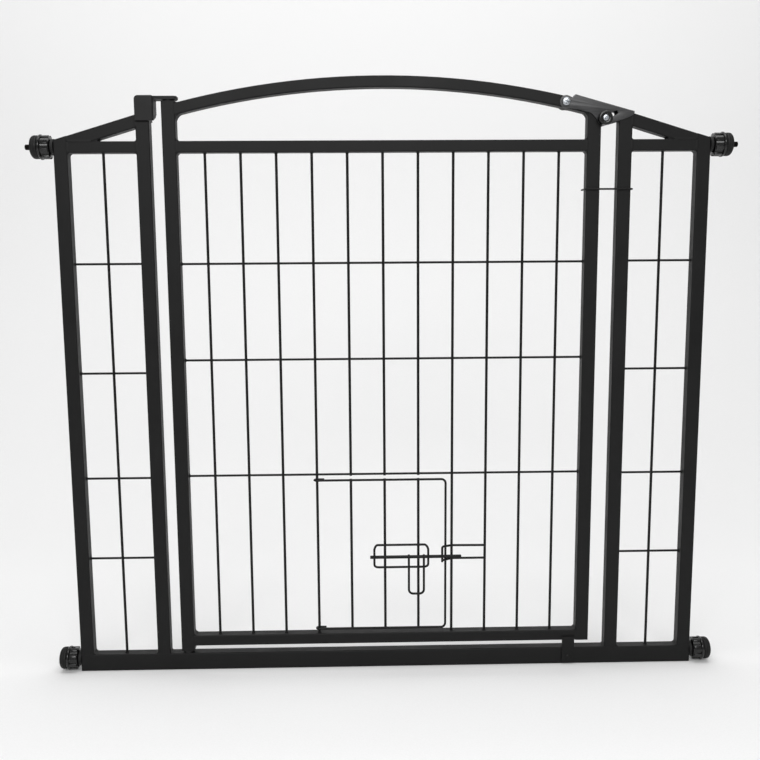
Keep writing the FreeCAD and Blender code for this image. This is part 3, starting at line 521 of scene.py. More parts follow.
def turned(name, profile, centre, axis="X", steps=72):
    # a solid of revolution from (along, radius) points, closed at the poles
    points, faces = [], []
    rows = []
    for along, radius in profile:
        if radius < 1e-6:
            rows.append([len(points)])
            points.append((along, 0.0, 0.0))
        else:
            rows.append(list(range(len(points), len(points) + steps)))
            for i in range(steps):
                angle = 2 * math.pi * i / steps
                points.append((along, radius * math.cos(angle), radius * math.sin(angle)))
    closed = profile[0] == profile[-1]
    if closed:
        del points[-len(rows[-1]):]
        rows[-1] = rows[0]
    for a, b in zip(rows, rows[1:]):
        for i in range(steps):
            j = (i + 1) % steps
            if len(a) == 1 and len(b) > 1:
                faces.append((a[0], b[j], b[i]))
            elif len(b) == 1 and len(a) > 1:
                faces.append((a[i], a[j], b[0]))
            elif len(a) > 1:
                faces.append((a[i], a[j], b[j], b[i]))
    piece = newPiece(name, points, faces)
    turn = {"X": Matrix.Identity(4), "-X": Matrix.Rotation(math.pi, 4, "Z"),
            "-Y": Matrix.Rotation(-math.pi / 2, 4, "Z"), "Y": Matrix.Rotation(math.pi / 2, 4, "Z")}[axis]
    piece.data.transform(Matrix.Translation(Vector(centre)) @ turn)
    return piece


def plateFromOutlines(name, outlines, yLow, yHigh, edge=0.3):
    # a sheet with rounded edges: the first outline is its rim and the others are its holes, in the XZ plane
    drawing = bpy.data.curves.new(name, "CURVE")
    drawing.dimensions = "2D"
    drawing.fill_mode = "BOTH"
    drawing.extrude = (yHigh - yLow) / 2 - edge
    drawing.bevel_depth = edge
    drawing.bevel_resolution = 2
    drawing.offset = -edge
    for outline in outlines:
        line = drawing.splines.new("POLY")
        line.points.add(len(outline) - 1)
        for point, (x, z) in zip(line.points, outline):
            point.co = (x, z, 0.0, 1.0)
        line.use_cyclic_u = True
    flat = placed(name + "_drawing", drawing)
    mesh = plainMesh(flat)
    bpy.data.objects.remove(flat)
    mesh.transform(Matrix.Translation((0.0, (yLow + yHigh) / 2, 0.0)) @ Matrix.Rotation(math.pi / 2, 4, "X"))
    shape = bmesh.new()
    shape.from_mesh(mesh)
    bmesh.ops.remove_doubles(shape, verts=shape.verts, dist=0.01)
    shape.to_mesh(mesh)
    shape.free()
    return placed(name, mesh)


def arcPoints(cx, cz, radius, start, end, steps):
    # points of an arc in the XZ plane, angles in degrees
    angles = [math.radians(start + (end - start) * i / steps) for i in range(steps + 1)]
    return [(cx + radius * math.cos(a), cz + radius * math.sin(a)) for a in angles]


def roundedCorners(points, radii, steps=5):
    # the outline with each corner replaced by a small arc-like curve
    outline = []
    count = len(points)
    for i, radius in enumerate(radii):
        before, corner, after = Vector(points[i - 1]), Vector(points[i]), Vector(points[(i + 1) % count])
        if radius <= 0:
            outline.append(tuple(corner))
            continue
        inward, outward = (before - corner), (after - corner)
        reach = min(radius, inward.length * 0.49, outward.length * 0.49)
        start, end = corner + inward.normalized() * reach, corner + outward.normalized() * reach
        for k in range(steps + 1):
            t = k / steps
            outline.append(tuple(bowed(start, corner, end, t)))
    return outline


def finishWires(name, runs, diameter, body, replaced, bend=0.0):
    return finishPiece(wirePiece(name, runs, diameter, bend), body, "coated_wire", replaced)


def finishDots(name, dots, radius, body, seed=7):
    return finishPiece(weldDots(name, dots, radius, seed), body, "coated_wire", outward=False)


# places that several pieces share

tubeHalfDepth = highOf("threshold_rail").y
doorLeft, doorRight = lowOf("door_hinge_stile").x, highOf("door_latch_stile").x
stileLeft, stileRight = highOf("door_hinge_stile").x, lowOf("door_latch_stile").x
railFoot, railTop = lowOf("door_top_rail").z, highOf("door_top_rail").z
doorRailFoot, doorRailTop = lowOf("door_bottom_rail").z, highOf("door_bottom_rail").z
thresholdTop = highOf("threshold_rail").z
panels = {}
for side in ("left", "right"):
    outer, inner = side + "_outer_post", side + "_inner_post"
    panels[side] = (min(highOf(outer).x, highOf(inner).x), max(lowOf(outer).x, lowOf(inner).x))
postWidth = 18.0
arch = {"rise": 36.0, "tubeHeight": 15.0}
arch["top"] = highOf("door_arch_rail").z
arch["halfSpan"] = (doorRight - doorLeft - postWidth) / 2
arch["radius"] = (arch["halfSpan"] ** 2 + arch["rise"] ** 2) / (2 * arch["rise"])
arch["middle"] = (doorLeft + doorRight) / 2


def archHeight(x, below=0.0):
    return arch["top"] - arch["radius"] + math.sqrt((arch["radius"] - below) ** 2 - (x - arch["middle"]) ** 2)


# wires of the door and the side panels

wireMesh = {"upright": 3.2, "cross": 2.6, "coat": 0.5, "sink": 0.25, "inWall": 0.5, "count": 11,
         "doorHeights": (278.7, 440.2, 570.6), "panelHeights": (161.9, 276.6, 423.3, 571.2),
         "shortWires": (4, 5, 6), "dotRadius": 2.3, "railDotRadius": 2.6}
coatedUpright, coatedCross = wireMesh["upright"] + wireMesh["coat"], wireMesh["cross"] + wireMesh["coat"]
wireMesh["crossY"] = wireMesh["upright"] / 2 + wireMesh["cross"] / 2 - wireMesh["sink"]
uprightsLow, uprightsHigh = lowOf("door_upright_wires").x, highOf("door_upright_wires").x
wireMesh["pitch"] = (uprightsHigh - uprightsLow - wireMesh["upright"]) / (wireMesh["count"] - 1)
doorWireX = [uprightsLow + wireMesh["upright"] / 2 + i * wireMesh["pitch"] for i in range(wireMesh["count"])]
middleWireX = doorWireX[wireMesh["count"] // 2]
crossDot = (0.85, 0.62, 0.85)
footDot = (1.0, 1.0, 0.62)
sideDot = (0.62, 1.0, 1.0)

lowestCross = wireMesh["doorHeights"][0]
uprightRuns, dots = [], []
for i, x in enumerate(doorWireX):
    foot = doorRailTop - wireMesh["inWall"]
    if i in wireMesh["shortWires"]:
        foot = lowestCross - wireMesh["cross"] / 2 - wireMesh["sink"]
    uprightRuns.append([(x, 0.0, foot), (x, 0.0, railFoot + wireMesh["inWall"])])
    dots += [((x, wireMesh["upright"] / 2, z), crossDot) for z in wireMesh["doorHeights"]]


def crossRun(low, high, z):
    # a cross wire from wall to wall, its ends let into both
    return [(low - wireMesh["inWall"], wireMesh["crossY"], z), (high + wireMesh["inWall"], wireMesh["crossY"], z)]


crossRuns = [crossRun(stileLeft, stileRight, z) for z in wireMesh["doorHeights"]]
finishWires("door_uprights", uprightRuns, coatedUpright, "door", ["door_upright_wires"])
finishWires("door_crosswires", crossRuns, coatedCross, "door", ["door_cross_wires"])
finishDots("door_wire_welds", dots, wireMesh["dotRadius"], "door")
railDots = [((x, 0.0, railFoot - 0.1), footDot) for x in doorWireX]
railDots += [((x, 0.0, doorRailTop + 0.1), footDot) for i, x in enumerate(doorWireX)
             if i not in wireMesh["shortWires"]]
railDots += [((x, wireMesh["crossY"], z), sideDot) for x in (stileLeft + 0.1, stileRight - 0.1)
             for z in wireMesh["doorHeights"]]
finishDots("door_end_welds", railDots, wireMesh["railDotRadius"], "door", seed=3)

for side, (low, high) in panels.items():
    x = (low + high) / 2
    upright = [(x, 0.0, thresholdTop - wireMesh["inWall"]), (x, 0.0, railFoot + wireMesh["inWall"])]
    finishWires(side + "_panel_upright", [upright], coatedUpright, "gate_frame", [side + "_upright_wire"])
    runs = [crossRun(low, high, z) for z in wireMesh["panelHeights"]]
    finishWires(side + "_panel_crosswires", runs, coatedCross, "gate_frame", [side + "_cross_wires"])
    dots = [((x, wireMesh["upright"] / 2, z), crossDot) for z in wireMesh["panelHeights"]]
    finishDots(side + "_panel_wire_welds", dots, wireMesh["dotRadius"], "gate_frame")
    ends = [((x, 0.0, railFoot - 0.1), footDot), ((x, 0.0, thresholdTop + 0.1), footDot)]
    ends += [((wall, wireMesh["crossY"], z), sideDot) for wall in (low + 0.1, high - 0.1)
             for z in wireMesh["panelHeights"]]
    finishDots(side + "_panel_end_welds", ends, wireMesh["railDotRadius"], "gate_frame", seed=5)
print("wires made:", len(doorWireX), "uprights in the door")


# fillet welds in the inside corners of the tubes

filletWeld = {"leg": 4.2, "endInset": 0.9, "rows": 30, "ripplePitch": 1.25, "ripple": 0.035, "sink": 0.35,
              "arc": 6}


def filletWelds(name, corners, body):
    # corners are (x, z, first direction, second direction, leg or two legs): a concave bead along Y in a corner
    points, faces = [], []
    for x, z, first, second, legs in corners:
        firstLeg, secondLeg = legs if isinstance(legs, tuple) else (legs, legs)
        a, b = Vector(first).normalized(), Vector(second).normalized()
        corner = Vector((x, z)) - (a + b) * filletWeld["sink"]
        depth = tubeHalfDepth - filletWeld["endInset"]
        rows = []
        for r in range(filletWeld["rows"] + 1):
            y = -depth + 2 * depth * r / filletWeld["rows"]
            fromEnd = min(r, filletWeld["rows"] - r) / filletWeld["rows"] * 2 * depth
            size = 1 + filletWeld["ripple"] * math.sin(2 * math.pi * y / filletWeld["ripplePitch"])
            size *= 0.9 + 0.1 * min(1.0, fromEnd / 1.2)
            start = corner + a * (firstLeg * size + filletWeld["sink"])
            end = corner + b * (secondLeg * size + filletWeld["sink"])
            pull = corner + a * (0.2 * firstLeg * size) + b * (0.2 * secondLeg * size)
            row = [len(points)]
            points.append((corner.x, y, corner.y))
            for k in range(filletWeld["arc"] + 1):
                t = k / filletWeld["arc"]
                p = bowed(start, pull, end, t)
                row.append(len(points))
                points.append((p.x, y, p.y))
            rows.append(row)
        faces += loftFaces(rows)
    return finishPiece(newPiece(name, points, faces), body, "powder_coat", sharpAngle=60.0)


right, left, up, down = (1, 0), (-1, 0), (0, 1), (0, -1)
leg = filletWeld["leg"]
archUnder = arch["tubeHeight"]


def archSlope(x):
    # direction of the arch towards +X at x
    run = x - arch["middle"]
    return Vector((math.sqrt(arch["radius"] ** 2 - run ** 2), -run)).normalized()


doorCorners = [
    (stileLeft, railFoot, right, down, leg), (stileLeft, railTop, right, up, 5.4),
    (stileRight, railFoot, left, down, leg), (stileRight, railTop, left, up, leg),
    (stileLeft, doorRailTop, right, up, 5.4), (stileRight, doorRailTop, left, up, leg),
    (stileLeft, doorRailFoot, right, down, 2.6),
    (stileLeft, archHeight(stileLeft, archUnder), tuple(archSlope(stileLeft)), down, 7.5),
    (stileRight, archHeight(stileRight, archUnder), tuple(-archSlope(stileRight)), down, 6.0),
    (stileLeft, archHeight(stileLeft), tuple(archSlope(stileLeft)), up, (6.5, 2.4)),
]
filletWelds("door_fillet_welds", doorCorners, "door")
frameCorners = []
for side, (low, high) in panels.items():
    frameCorners += [(low, thresholdTop, right, up, leg), (high, thresholdTop, left, up, leg),
                     (low, railFoot, right, down, leg), (high, railFoot, left, down, leg)]
gapLeft, gapRight = highOf("left_inner_post").x, lowOf("right_inner_post").x
frameCorners += [(gapLeft, thresholdTop, right, up, 2.6), (gapRight, thresholdTop, left, up, 2.6)]
shoulderRail = {"outerTop": 732.2, "tubeHeight": 16.0}
shoulder = {}
for side, sign in (("left", 1), ("right", -1)):
    inner = panels[side][1] if side == "left" else panels[side][0]
    outerEdge = sign * lowOf("threshold_rail").x
    panelRun = abs(outerEdge) - abs(inner)
    slope = (highOf(side + "_inner_post").z - shoulderRail["outerTop"]) / (panelRun + postWidth)
    lineAt = shoulderRail["outerTop"] + slope * panelRun
    lineAt -= shoulderRail["tubeHeight"] * math.sqrt(1 + slope ** 2)
    shoulder[side] = (inner, slope, lineAt)
    back = left if side == "left" else right
    frameCorners.append((inner, railTop, back, up, 3.0))
    frameCorners.append((inner, lineAt, (back[0], -slope), down, 3.0))
    reach = (lineAt - railTop) / slope
    frameCorners.append((inner + back[0] * reach, railTop, (-back[0], 0), (-back[0], slope), 12.0))
filletWelds("frame_fillet_welds", frameCorners, "gate_frame")

seamWeld = {"half": 2.1, "crown": 0.16, "sink": 1.1, "step": 0.7, "inset": 0.8}


def seamWelds(name, seams, body):
    # ground-flush butt welds between two tube faces, front and back, along lines in the XZ plane
    points, faces = [], []
    for x0, z0, x1, z1 in seams:
        start, end = Vector((x0, z0)), Vector((x1, z1))
        along = (end - start).normalized()
        across = Vector((-along.y, along.x))
        start, end = start + along * seamWeld["inset"], end - along * seamWeld["inset"]
        count = max(4, round((end - start).length / seamWeld["step"]))
        for facing in (-1, 1):
            rows = []
            for r in range(count + 1):
                centre = start.lerp(end, r / count)
                taper = min(1.0, 0.35 + min(r, count - r) * 0.3)
                crown = seamWeld["crown"] * taper * (1 + 0.25 * math.sin(r * 2.4))
                half = seamWeld["half"] * (0.8 + 0.2 * taper)
                section = [(-half, -0.1), (-half * 0.55, crown * 0.75), (0, crown), (half * 0.55, crown * 0.75),
                           (half, -0.1), (half * 0.5, -seamWeld["sink"]), (-half * 0.5, -seamWeld["sink"])]
                row = []
                for n, proud in section:
                    place = centre + across * n
                    row.append(len(points))
                    points.append((place.x, facing * (tubeHalfDepth + proud), place.y))
                rows.append(row)
            faces += loftFaces(rows)
    return finishPiece(newPiece(name, points, faces), body, "powder_coat", sharpAngle=60.0)


doorSeams = [(x, low, x, high) for x in (stileLeft, stileRight)
             for low, high in ((railFoot, railTop), (doorRailFoot, doorRailTop),
                               (archHeight(x, archUnder), archHeight(x) - 0.6))]
seamWelds("door_seam_welds", doorSeams, "door")
frameSeams = []
for side, (low, high) in panels.items():
    frameSeams += [(x, railFoot, x, railTop) for x in (low, high)]
    inner, slope, lineAt = shoulder[side]
    outerFace, back = (low, -1) if side == "left" else (high, 1)
    frameSeams.append((outerFace, railTop, outerFace, highOf(side + "_outer_post").z))
    frameSeams.append((inner, lineAt, inner, lineAt + shoulderRail["tubeHeight"]))
    reach = (lineAt - railTop) / slope
    frameSeams.append((outerFace, railTop, inner + back * reach, railTop))
    for post in ("_outer_post", "_inner_post"):
        frameSeams.append((lowOf(side + post).x, thresholdTop, highOf(side + post).x, thresholdTop))
seamWelds("frame_seam_welds", frameSeams, "gate_frame")
print("welds made:", len(doorCorners) + len(frameCorners), "fillets and",
      len(doorSeams) + len(frameSeams), "seams")


# hinge cap

capCut = {"wallIn": 8.0, "cornerRadius": 5.5, "slopeStart": -9.0, "slopeBend": (5.0, 5.5), "slopeEnd": 12.5,
          "slopeRise": 13.0}


def prismAlong(name, outline, axis, low, high):
    # a closed prism: the outline is (x, z) for axis Y or (y, z) for axis X
    count = len(outline)
    if axis == "Y":
        points = [(a, end, b) for end in (low, high) for a, b in outline]
    else:
        points = [(end, a, b) for end in (low, high) for a, b in outline]
    faces = [tuple(range(count)), tuple(reversed(range(count, 2 * count)))]
    faces += [(i, (i + 1) % count, count + (i + 1) % count, count + i) for i in range(count)]
    return facingOut(newPiece(name, points, faces))


def mergedCopy(name, nodeName):
    # the CAD node's mesh in millimetres, its doubled points merged and its flat faces whole
    mesh = frame["nodes"][nodeName].data.copy()
    shape = bmesh.new()
    shape.from_mesh(mesh)
    bmesh.ops.scale(shape, vec=(1 / mm, 1 / mm, 1 / mm), verts=shape.verts)
    bmesh.ops.remove_doubles(shape, verts=shape.verts, dist=0.002)
    bmesh.ops.dissolve_limit(shape, angle_limit=math.radians(0.5), verts=shape.verts, edges=shape.edges)
    shape.to_mesh(mesh)
    shape.free()
    return placed(name, mesh)


capLow, capHigh = lowOf("hinge_cap"), highOf("hinge_cap")
capRound = capCut["cornerRadius"]
topLeft = [(capLow.x - 1, capHigh.z + 1), (capLow.x - 1, capHigh.z - capRound)]
topLeft += arcPoints(capLow.x + capRound, capHigh.z - capRound, capRound, 180, 90, 8)
topLeft += [(capLow.x + capRound, capHigh.z + 1)]
bendY, bendRise = capCut["slopeBend"]
slopeUnder = [(capCut["slopeStart"], capLow.z - 1), (capCut["slopeStart"], capLow.z + 0.2),
              (bendY, capLow.z + bendRise), (capCut["slopeEnd"], capLow.z + capCut["slopeRise"]),
              (capCut["slopeEnd"], capLow.z - 1)]
wallFrom = highOf("left_inner_post").x
cap = mergedCopy("hinge_cap_moulding", "hinge_cap")
cutAway(cap, [prismAlong("corner", topLeft, "Y", -14, 14),
              prismAlong("slope", slopeUnder, "X", wallFrom + 0.2, wallFrom + capCut["wallIn"])])
finishPiece(cap, "gate_frame", "moulded_plastic", ["hinge_cap"], sharpAngle=28.0)
print("hinge cap made")


# small pet door

pet = {"frameWire": 2.8, "coat": 0.4, "bend": 6.0, "eyePlay": 0.1, "eyeTail": 9.8, "uprightWire": 3.2,
       "dotRadius": 1.9}
petLow, petHigh = lowOf("pet_door_frame"), highOf("pet_door_frame")
eyeRadius = pet["uprightWire"] / 2 + pet["frameWire"] / 2 + pet["eyePlay"]
petHingeX = middleWireX - 2 * wireMesh["pitch"]
petRight = petHigh.x - pet["frameWire"] / 2
petTop, petFoot = petHigh.z - pet["frameWire"] / 2, petLow.z + pet["frameWire"] / 2


coatedFrame = pet["frameWire"] + pet["coat"]
coatedEye = coatedUpright / 2 + coatedFrame / 2 + pet["eyePlay"]


def eyeRun(z):
    # the eye round the hinge wire, from its tail behind to the front
    half = [(petHingeX + coatedEye * math.cos(a), coatedEye * math.sin(a), z)
            for a in [math.pi / 2 + math.pi * k / 12 for k in range(13)]]
    return [(petHingeX + pet["eyeTail"], eyeRadius, z)] + half + [(petHingeX + pet["eyeTail"], -eyeRadius, z)]


petRun = eyeRun(petTop) + [(petRight, -eyeRadius, petTop), (petRight, -eyeRadius, petFoot)]
petRun += eyeRun(petFoot)[::-1]
finishWires("pet_door_loop", [petRun], coatedFrame, "pet_door", ["pet_door_frame"], pet["bend"])
petUprightY = -eyeRadius + pet["frameWire"] / 2 + pet["uprightWire"] / 2 - wireMesh["sink"]
petX = [middleWireX + i * wireMesh["pitch"] for i in (-1, 0, 1)]
runs = [[(x, petUprightY, petLow.z + 0.3), (x, petUprightY, petHigh.z - 0.3)] for x in petX]
finishWires("pet_door_bars", runs, coatedUpright, "pet_door", ["pet_door_uprights"])

guide = {"wire": 2.6, "coat": 0.6, "halfHeight": 16.2, "topStep": 4.8, "footStep": 7.6, "bend": 1.5}
boltMiddle = middleOf("pet_bolt_rod")
boltRadius = (highOf("pet_bolt_rod").z - lowOf("pet_bolt_rod").z) / 2
flatY = petUprightY - (pet["uprightWire"] / 2 + guide["wire"] / 2 - wireMesh["sink"])
bowY = lowOf("bolt_guide_loop").y + guide["wire"] / 2 - 0.25
guideLow = lowOf("bolt_guide_loop").x + guide["wire"] / 2
guideHigh = highOf("bolt_guide_loop").x - guide["wire"] / 2
guideTop, guideFoot = boltMiddle.z + guide["halfHeight"], boltMiddle.z - guide["halfHeight"]


def guideSide(x, inward):
    # a bent end of the loop: it comes forward in one smooth sweep as it turns down
    def quarter(step, way):
        run = []
        for k in range(9):
            a = math.pi / 2 * k / 8
            forward = (1 - math.cos(math.pi * k / 8)) / 2
            run.append((x + inward * step * (1 - math.sin(a)), flatY + (bowY - flatY) * forward,
                        boltMiddle.z + way * (guide["halfHeight"] - step * (1 - math.cos(a)))))
        return run
    return quarter(guide["topStep"], 1) + quarter(guide["footStep"], -1)[::-1]


guideRun = guideSide(guideLow, 1) + guideSide(guideHigh, -1)[::-1]
guideRun.append(guideRun[0])
finishWires("bolt_guide", [guideRun], guide["wire"] + guide["coat"], "pet_door", ["bolt_guide_loop"],
            guide["bend"])
petDots = [((x, -eyeRadius + 1.4, z), crossDot) for x in petX for z in (petTop, petFoot)]
petDots += [((x, (petUprightY + flatY) / 2, z), crossDot) for x in petX[1:] for z in (guideTop, guideFoot)]
finishDots("pet_door_welds", petDots, pet["dotRadius"], "pet_door", seed=11)

rodLow, rodHigh = lowOf("pet_bolt_rod").x, highOf("pet_bolt_rod").x
rodProfile = [(0.0, 0.0), (0.0, boltRadius - 0.6), (0.6, boltRadius), (rodHigh - rodLow - 0.9, boltRadius),
              (rodHigh - rodLow, boltRadius - 0.8), (rodHigh - rodLow, 0.0)]
rod = turned("bolt_rod", rodProfile, (rodLow, boltMiddle.y, boltMiddle.z), steps=24)
finishPiece(rod, "pet_bolt", "coated_wire", ["pet_bolt_rod"])

handle = {"wire": 2.6, "bend": 6.0, "eyeWidth": 2.8, "eyeWall": 1.0, "eyeEdge": 0.35, "play": 0.05}
handleLow, handleHigh = lowOf("pet_bolt_handle"), highOf("pet_bolt_handle")
legLeft, legRight = handleLow.x + handle["eyeWidth"] / 2, handleHigh.x - handle["eyeWidth"] / 2
legTop = boltMiddle.z - boltRadius - handle["play"] - handle["eyeWall"] / 2
handleFoot = handleLow.z + handle["wire"] / 2
loop = wirePiece("bolt_handle_loop", [[(legLeft, boltMiddle.y, legTop), (legLeft, boltMiddle.y, handleFoot),
                                       (legRight, boltMiddle.y, handleFoot), (legRight, boltMiddle.y, legTop)]],
                 handle["wire"] + guide["coat"], handle["bend"])
eyes = []
inner = boltRadius + handle["play"]
outer = inner + handle["eyeWall"]
width, edge = handle["eyeWidth"], handle["eyeEdge"]
for x in (legLeft, legRight):
    ring = [(0.0, inner), (0.0, outer - edge), (edge, outer), (width - edge, outer), (width, outer - edge),
            (width, inner), (0.0, inner)]
    eyes.append(turned("eye", ring, (x - width / 2, boltMiddle.y, boltMiddle.z), steps=32))
finishPiece(joined("bolt_handle", [loop] + eyes), "bolt_handle", "coated_wire", ["pet_bolt_handle"])

keeper = {"wire": 2.6, "top": 14.2, "foot": 4.2, "tail": 6.7, "pastStrike": 14.2, "bend": 2.4}
strikeX = middleWireX + 2 * wireMesh["pitch"]
keeperX = strikeX + wireMesh["pitch"]
keeperY = -(pet["uprightWire"] / 2 + keeper["wire"] / 2 - wireMesh["sink"])
keeperLeft = strikeX - keeper["pastStrike"]
z1, z2 = boltMiddle.z + keeper["top"], boltMiddle.z - keeper["foot"]
legs = [[(keeperX, keeperY, z1), (strikeX, keeperY, z1 + 0.4), (keeperLeft, bowY, z1 + 1.3),
         (keeperLeft, bowY, boltMiddle.z - keeper["tail"])],
        [(keeperX, keeperY, z2), (strikeX, keeperY, z2), (keeperLeft + 0.4, bowY, z2)]]
finishWires("bolt_keeper", legs, keeper["wire"] + guide["coat"], "door", ["pet_door_keeper"], keeper["bend"])
keeperDots = [((x, keeperY / 2, z), crossDot) for x in (strikeX, keeperX) for z in (z1, z2)]
finishDots("bolt_keeper_welds", keeperDots, pet["dotRadius"], "door", seed=13)

clip = {"wire": 2.2, "coat": 0.3, "bend": 2.2}
clipLow, clipHigh = lowOf("retaining_clip"), highOf("retaining_clip")
cx0, cx1, cy = clipLow.x + clip["wire"] / 2, clipHigh.x - clip["wire"] / 2, clipLow.y + clip["wire"] / 2
cz = (clipLow.z + clipHigh.z) / 2
clipRun = [(cx0, clipHigh.y, cz), (cx0, cy, cz), (cx1, cy, cz), (cx1, clipHigh.y, cz)]
finishWires("wire_clip", [clipRun], clip["wire"] + clip["coat"], "retaining_clip", ["retaining_clip"],
            clip["bend"])
print("pet door, bolt and clip made")


# latch lever, its bolt and its lock pin

lever = {"sheet": 1.5, "noseRadius": 8.3, "webStart": 13.0, "slope": 0.2758, "foldRadius": 2.6,
         "waist": ((18.4, -10.2), (27.5, -13.0)), "lobe": ((-17.5, 7.6), (-13.4, 3.6)), "lobeRadius": 9.0,
         "belly": ((0.15, -6.6), (0.45, -3.3), (0.78, 1.0)), "tail": (1.3, 4.7), "shoulder": (8.6, 0.4),
         "slotAngle": 26.5, "slotTravel": 17.767, "slotHalf": 2.4, "pivotHole": 2.6}
pivot = middleOf("latch_pivot_bolt")
lockPin = middleOf("lock_knob")
leverHigh = highOf("latch_lever")
leverEnd = leverHigh.x
webTopAtStart = leverHigh.z
webStartX = pivot.x + lever["webStart"]
webRise = lever["sheet"] * math.sqrt(1 + lever["slope"] ** 2)


def webUnder(x):
    return webTopAtStart - webRise - lever["slope"] * (x - webStartX)


belly = leverEnd - lockPin.x
rim = arcPoints(pivot.x, pivot.z, lever["noseRadius"], 76, 282, 20)
flow = [(pivot.x + dx, pivot.z + dz) for dx, dz in lever["waist"]]
flow += [(lockPin.x + dx, lockPin.z + dz) for dx, dz in lever["lobe"]]
rim += roundedCorners(flow, [0, 4, 3, 0])
rim += arcPoints(lockPin.x, lockPin.z, lever["lobeRadius"], 192, 258, 8)
rim += [(lockPin.x + belly * share, lockPin.z + dz) for share, dz in lever["belly"]]
tail = (leverEnd - lever["tail"][0], lockPin.z + lever["tail"][1])
rim += roundedCorners([rim[-1], tail, (leverEnd, webUnder(leverEnd))], [0, 1.2, 0])[1:]
rim += [(webStartX, webUnder(webStartX)),
        (pivot.x + lever["shoulder"][0], archHeight(pivot.x + lever["shoulder"][0]) - lever["shoulder"][1])]
angle = math.radians(lever["slotAngle"])
slotEnd = (lockPin.x + lever["slotTravel"] * math.cos(angle), lockPin.z + lever["slotTravel"] * math.sin(angle))
slotHalf, lean = lever["slotHalf"], lever["slotAngle"]
slot = arcPoints(lockPin.x, lockPin.z, slotHalf, lean + 90, lean + 270, 12)
slot += arcPoints(slotEnd[0], slotEnd[1], slotHalf, lean - 90, lean + 90, 12)
pivotHole = arcPoints(pivot.x, pivot.z, lever["pivotHole"], 0, 345, 23)
plateOut, plateIn = leverHigh.y, leverHigh.y - lever["sheet"]
front = plateFromOutlines("front_plate", [rim, slot, pivotHole], -plateOut, -plateIn)
back = plateFromOutlines("back_plate", [rim, slot, pivotHole], plateIn, plateOut)


def foldedWeb():
    # the top of the channel: a flat strip with a rolled bend down each long side
    r, t = lever["foldRadius"], lever["sheet"]
    section = []
    for radius, order in ((r, 1), (r - t, -1)):
        arc = []
        for side in (-1, 1):
            quarter = [(side * (plateOut - r + radius * math.sin(a)), -r + radius * math.cos(a))
                       for a in [math.pi / 2 * (1 - k / 6 if side < 0 else k / 6) for k in range(7)]]
            arc += quarter
        section += arc[::order]
    points, stations = [], 24
    for i in range(stations + 1):
        x = webStartX + (leverEnd - webStartX) * i / stations
        top = webTopAtStart - lever["slope"] * (x - webStartX)
        points += [(x, y, top + dz * math.sqrt(1 + lever["slope"] ** 2)) for y, dz in section]
    n = len(section)
    return newPiece("lever_web", points, loftFaces([range(i * n, i * n + n) for i in range(stations + 1)]))


web = bevelled(foldedWeb(), 0.35, 2, angle=60.0)
finishPiece(joined("latch_lever_sheet", [front, back, web]), "latch_lever", "coated_sheet", ["latch_lever"])


def crossRecessHead(name, centre, seatY, radius, height, dome, recess, lean=0.35):
    # a pan head facing -Y with a tapered cross recess and a short washer face
    profile = [(0.0, 0.0), (0.0, radius - 0.25), (0.25, radius)]
    for k in range(9):
        a = math.pi / 2 * k / 8
        share = 1 - 0.30 * (1 - math.cos(a)) - 0.7 * (k / 8) ** 6
        profile.append((height - dome + dome * math.sin(a), radius * share))
    profile[-1] = (height, 0.0)
    head = turned(name, profile, (centre.x, seatY, centre.z), "-Y", 64)
    arms = []
    for turn in (0.0, math.pi / 2):
        wide, thin, deep = recess
        low, high = seatY - height - 0.5, seatY - height + deep
        corners = [(sx * wide * k, y, sz * thin * k) for y, k in ((low, 1.15), (high, 0.45))
                   for sx, sz in ((-1, -1), (1, -1), (1, 1), (-1, 1))]
        arm = boxFrom("arm", corners)
        arm.data.transform(Matrix.Translation((centre.x, 0, centre.z)) @ Matrix.Rotation(turn + lean, 4, "Y"))
        arms.append(facingOut(arm))
    return cutAway(facingOut(head), arms)


def shankProfile(length, radius, point, taper):
    # a plain rod with a chamfered end
    return [(0, 0), (0, radius), (length - point, radius), (length, radius - taper), (length, 0)]


pivotBolt = {"headRadius": 5.35, "headHeight": 3.2, "dome": 2.3, "recess": (2.5, 0.62, 1.9), "shank": 2.5}
boltLow, boltHigh = lowOf("latch_pivot_bolt").y, highOf("latch_pivot_bolt").y
seat = boltLow + pivotBolt["headHeight"]
head = crossRecessHead("pivot_head", pivot, seat, pivotBolt["headRadius"], pivotBolt["headHeight"],
                       pivotBolt["dome"], pivotBolt["recess"])
shank = turned("pivot_shank", shankProfile(boltHigh - seat, pivotBolt["shank"], 0.5, 0.5),
               (pivot.x, seat, pivot.z), "Y", 32)
finishPiece(joined("pivot_screw", [head, shank]), "door", "zinc_steel", ["latch_pivot_bolt"])


def hexNut(name, centre, yLow, yHigh, across, bore):
    # a hexagon nut with turned chamfers, its axis along Y
    outer = across / math.sqrt(3)
    rings = [(yLow, 0.0, bore), (yLow, 0.9, None), (yLow + 0.45, 1.0, None),
             (yHigh - 0.45, 1.0, None), (yHigh, 0.9, None), (yHigh, 0.0, bore)]
    points, faces, steps = [], [], 36
    for y, share, fixed in rings:
        for i in range(steps):
            a = 2 * math.pi * i / steps
            flat = (across / 2) / math.cos((a % (math.pi / 3)) - math.pi / 6)
            radius = fixed if fixed else min(flat, outer if share == 1.0 else across / 2 * 0.99)
            points.append((centre.x + radius * math.sin(a), y, centre.z + radius * math.cos(a)))
    for r in range(len(rings)):
        for i in range(steps):
            j, s = (i + 1) % steps, (r + 1) % len(rings)
            faces.append((r * steps + i, r * steps + j, s * steps + j, s * steps + i))
    return newPiece(name, points, faces)


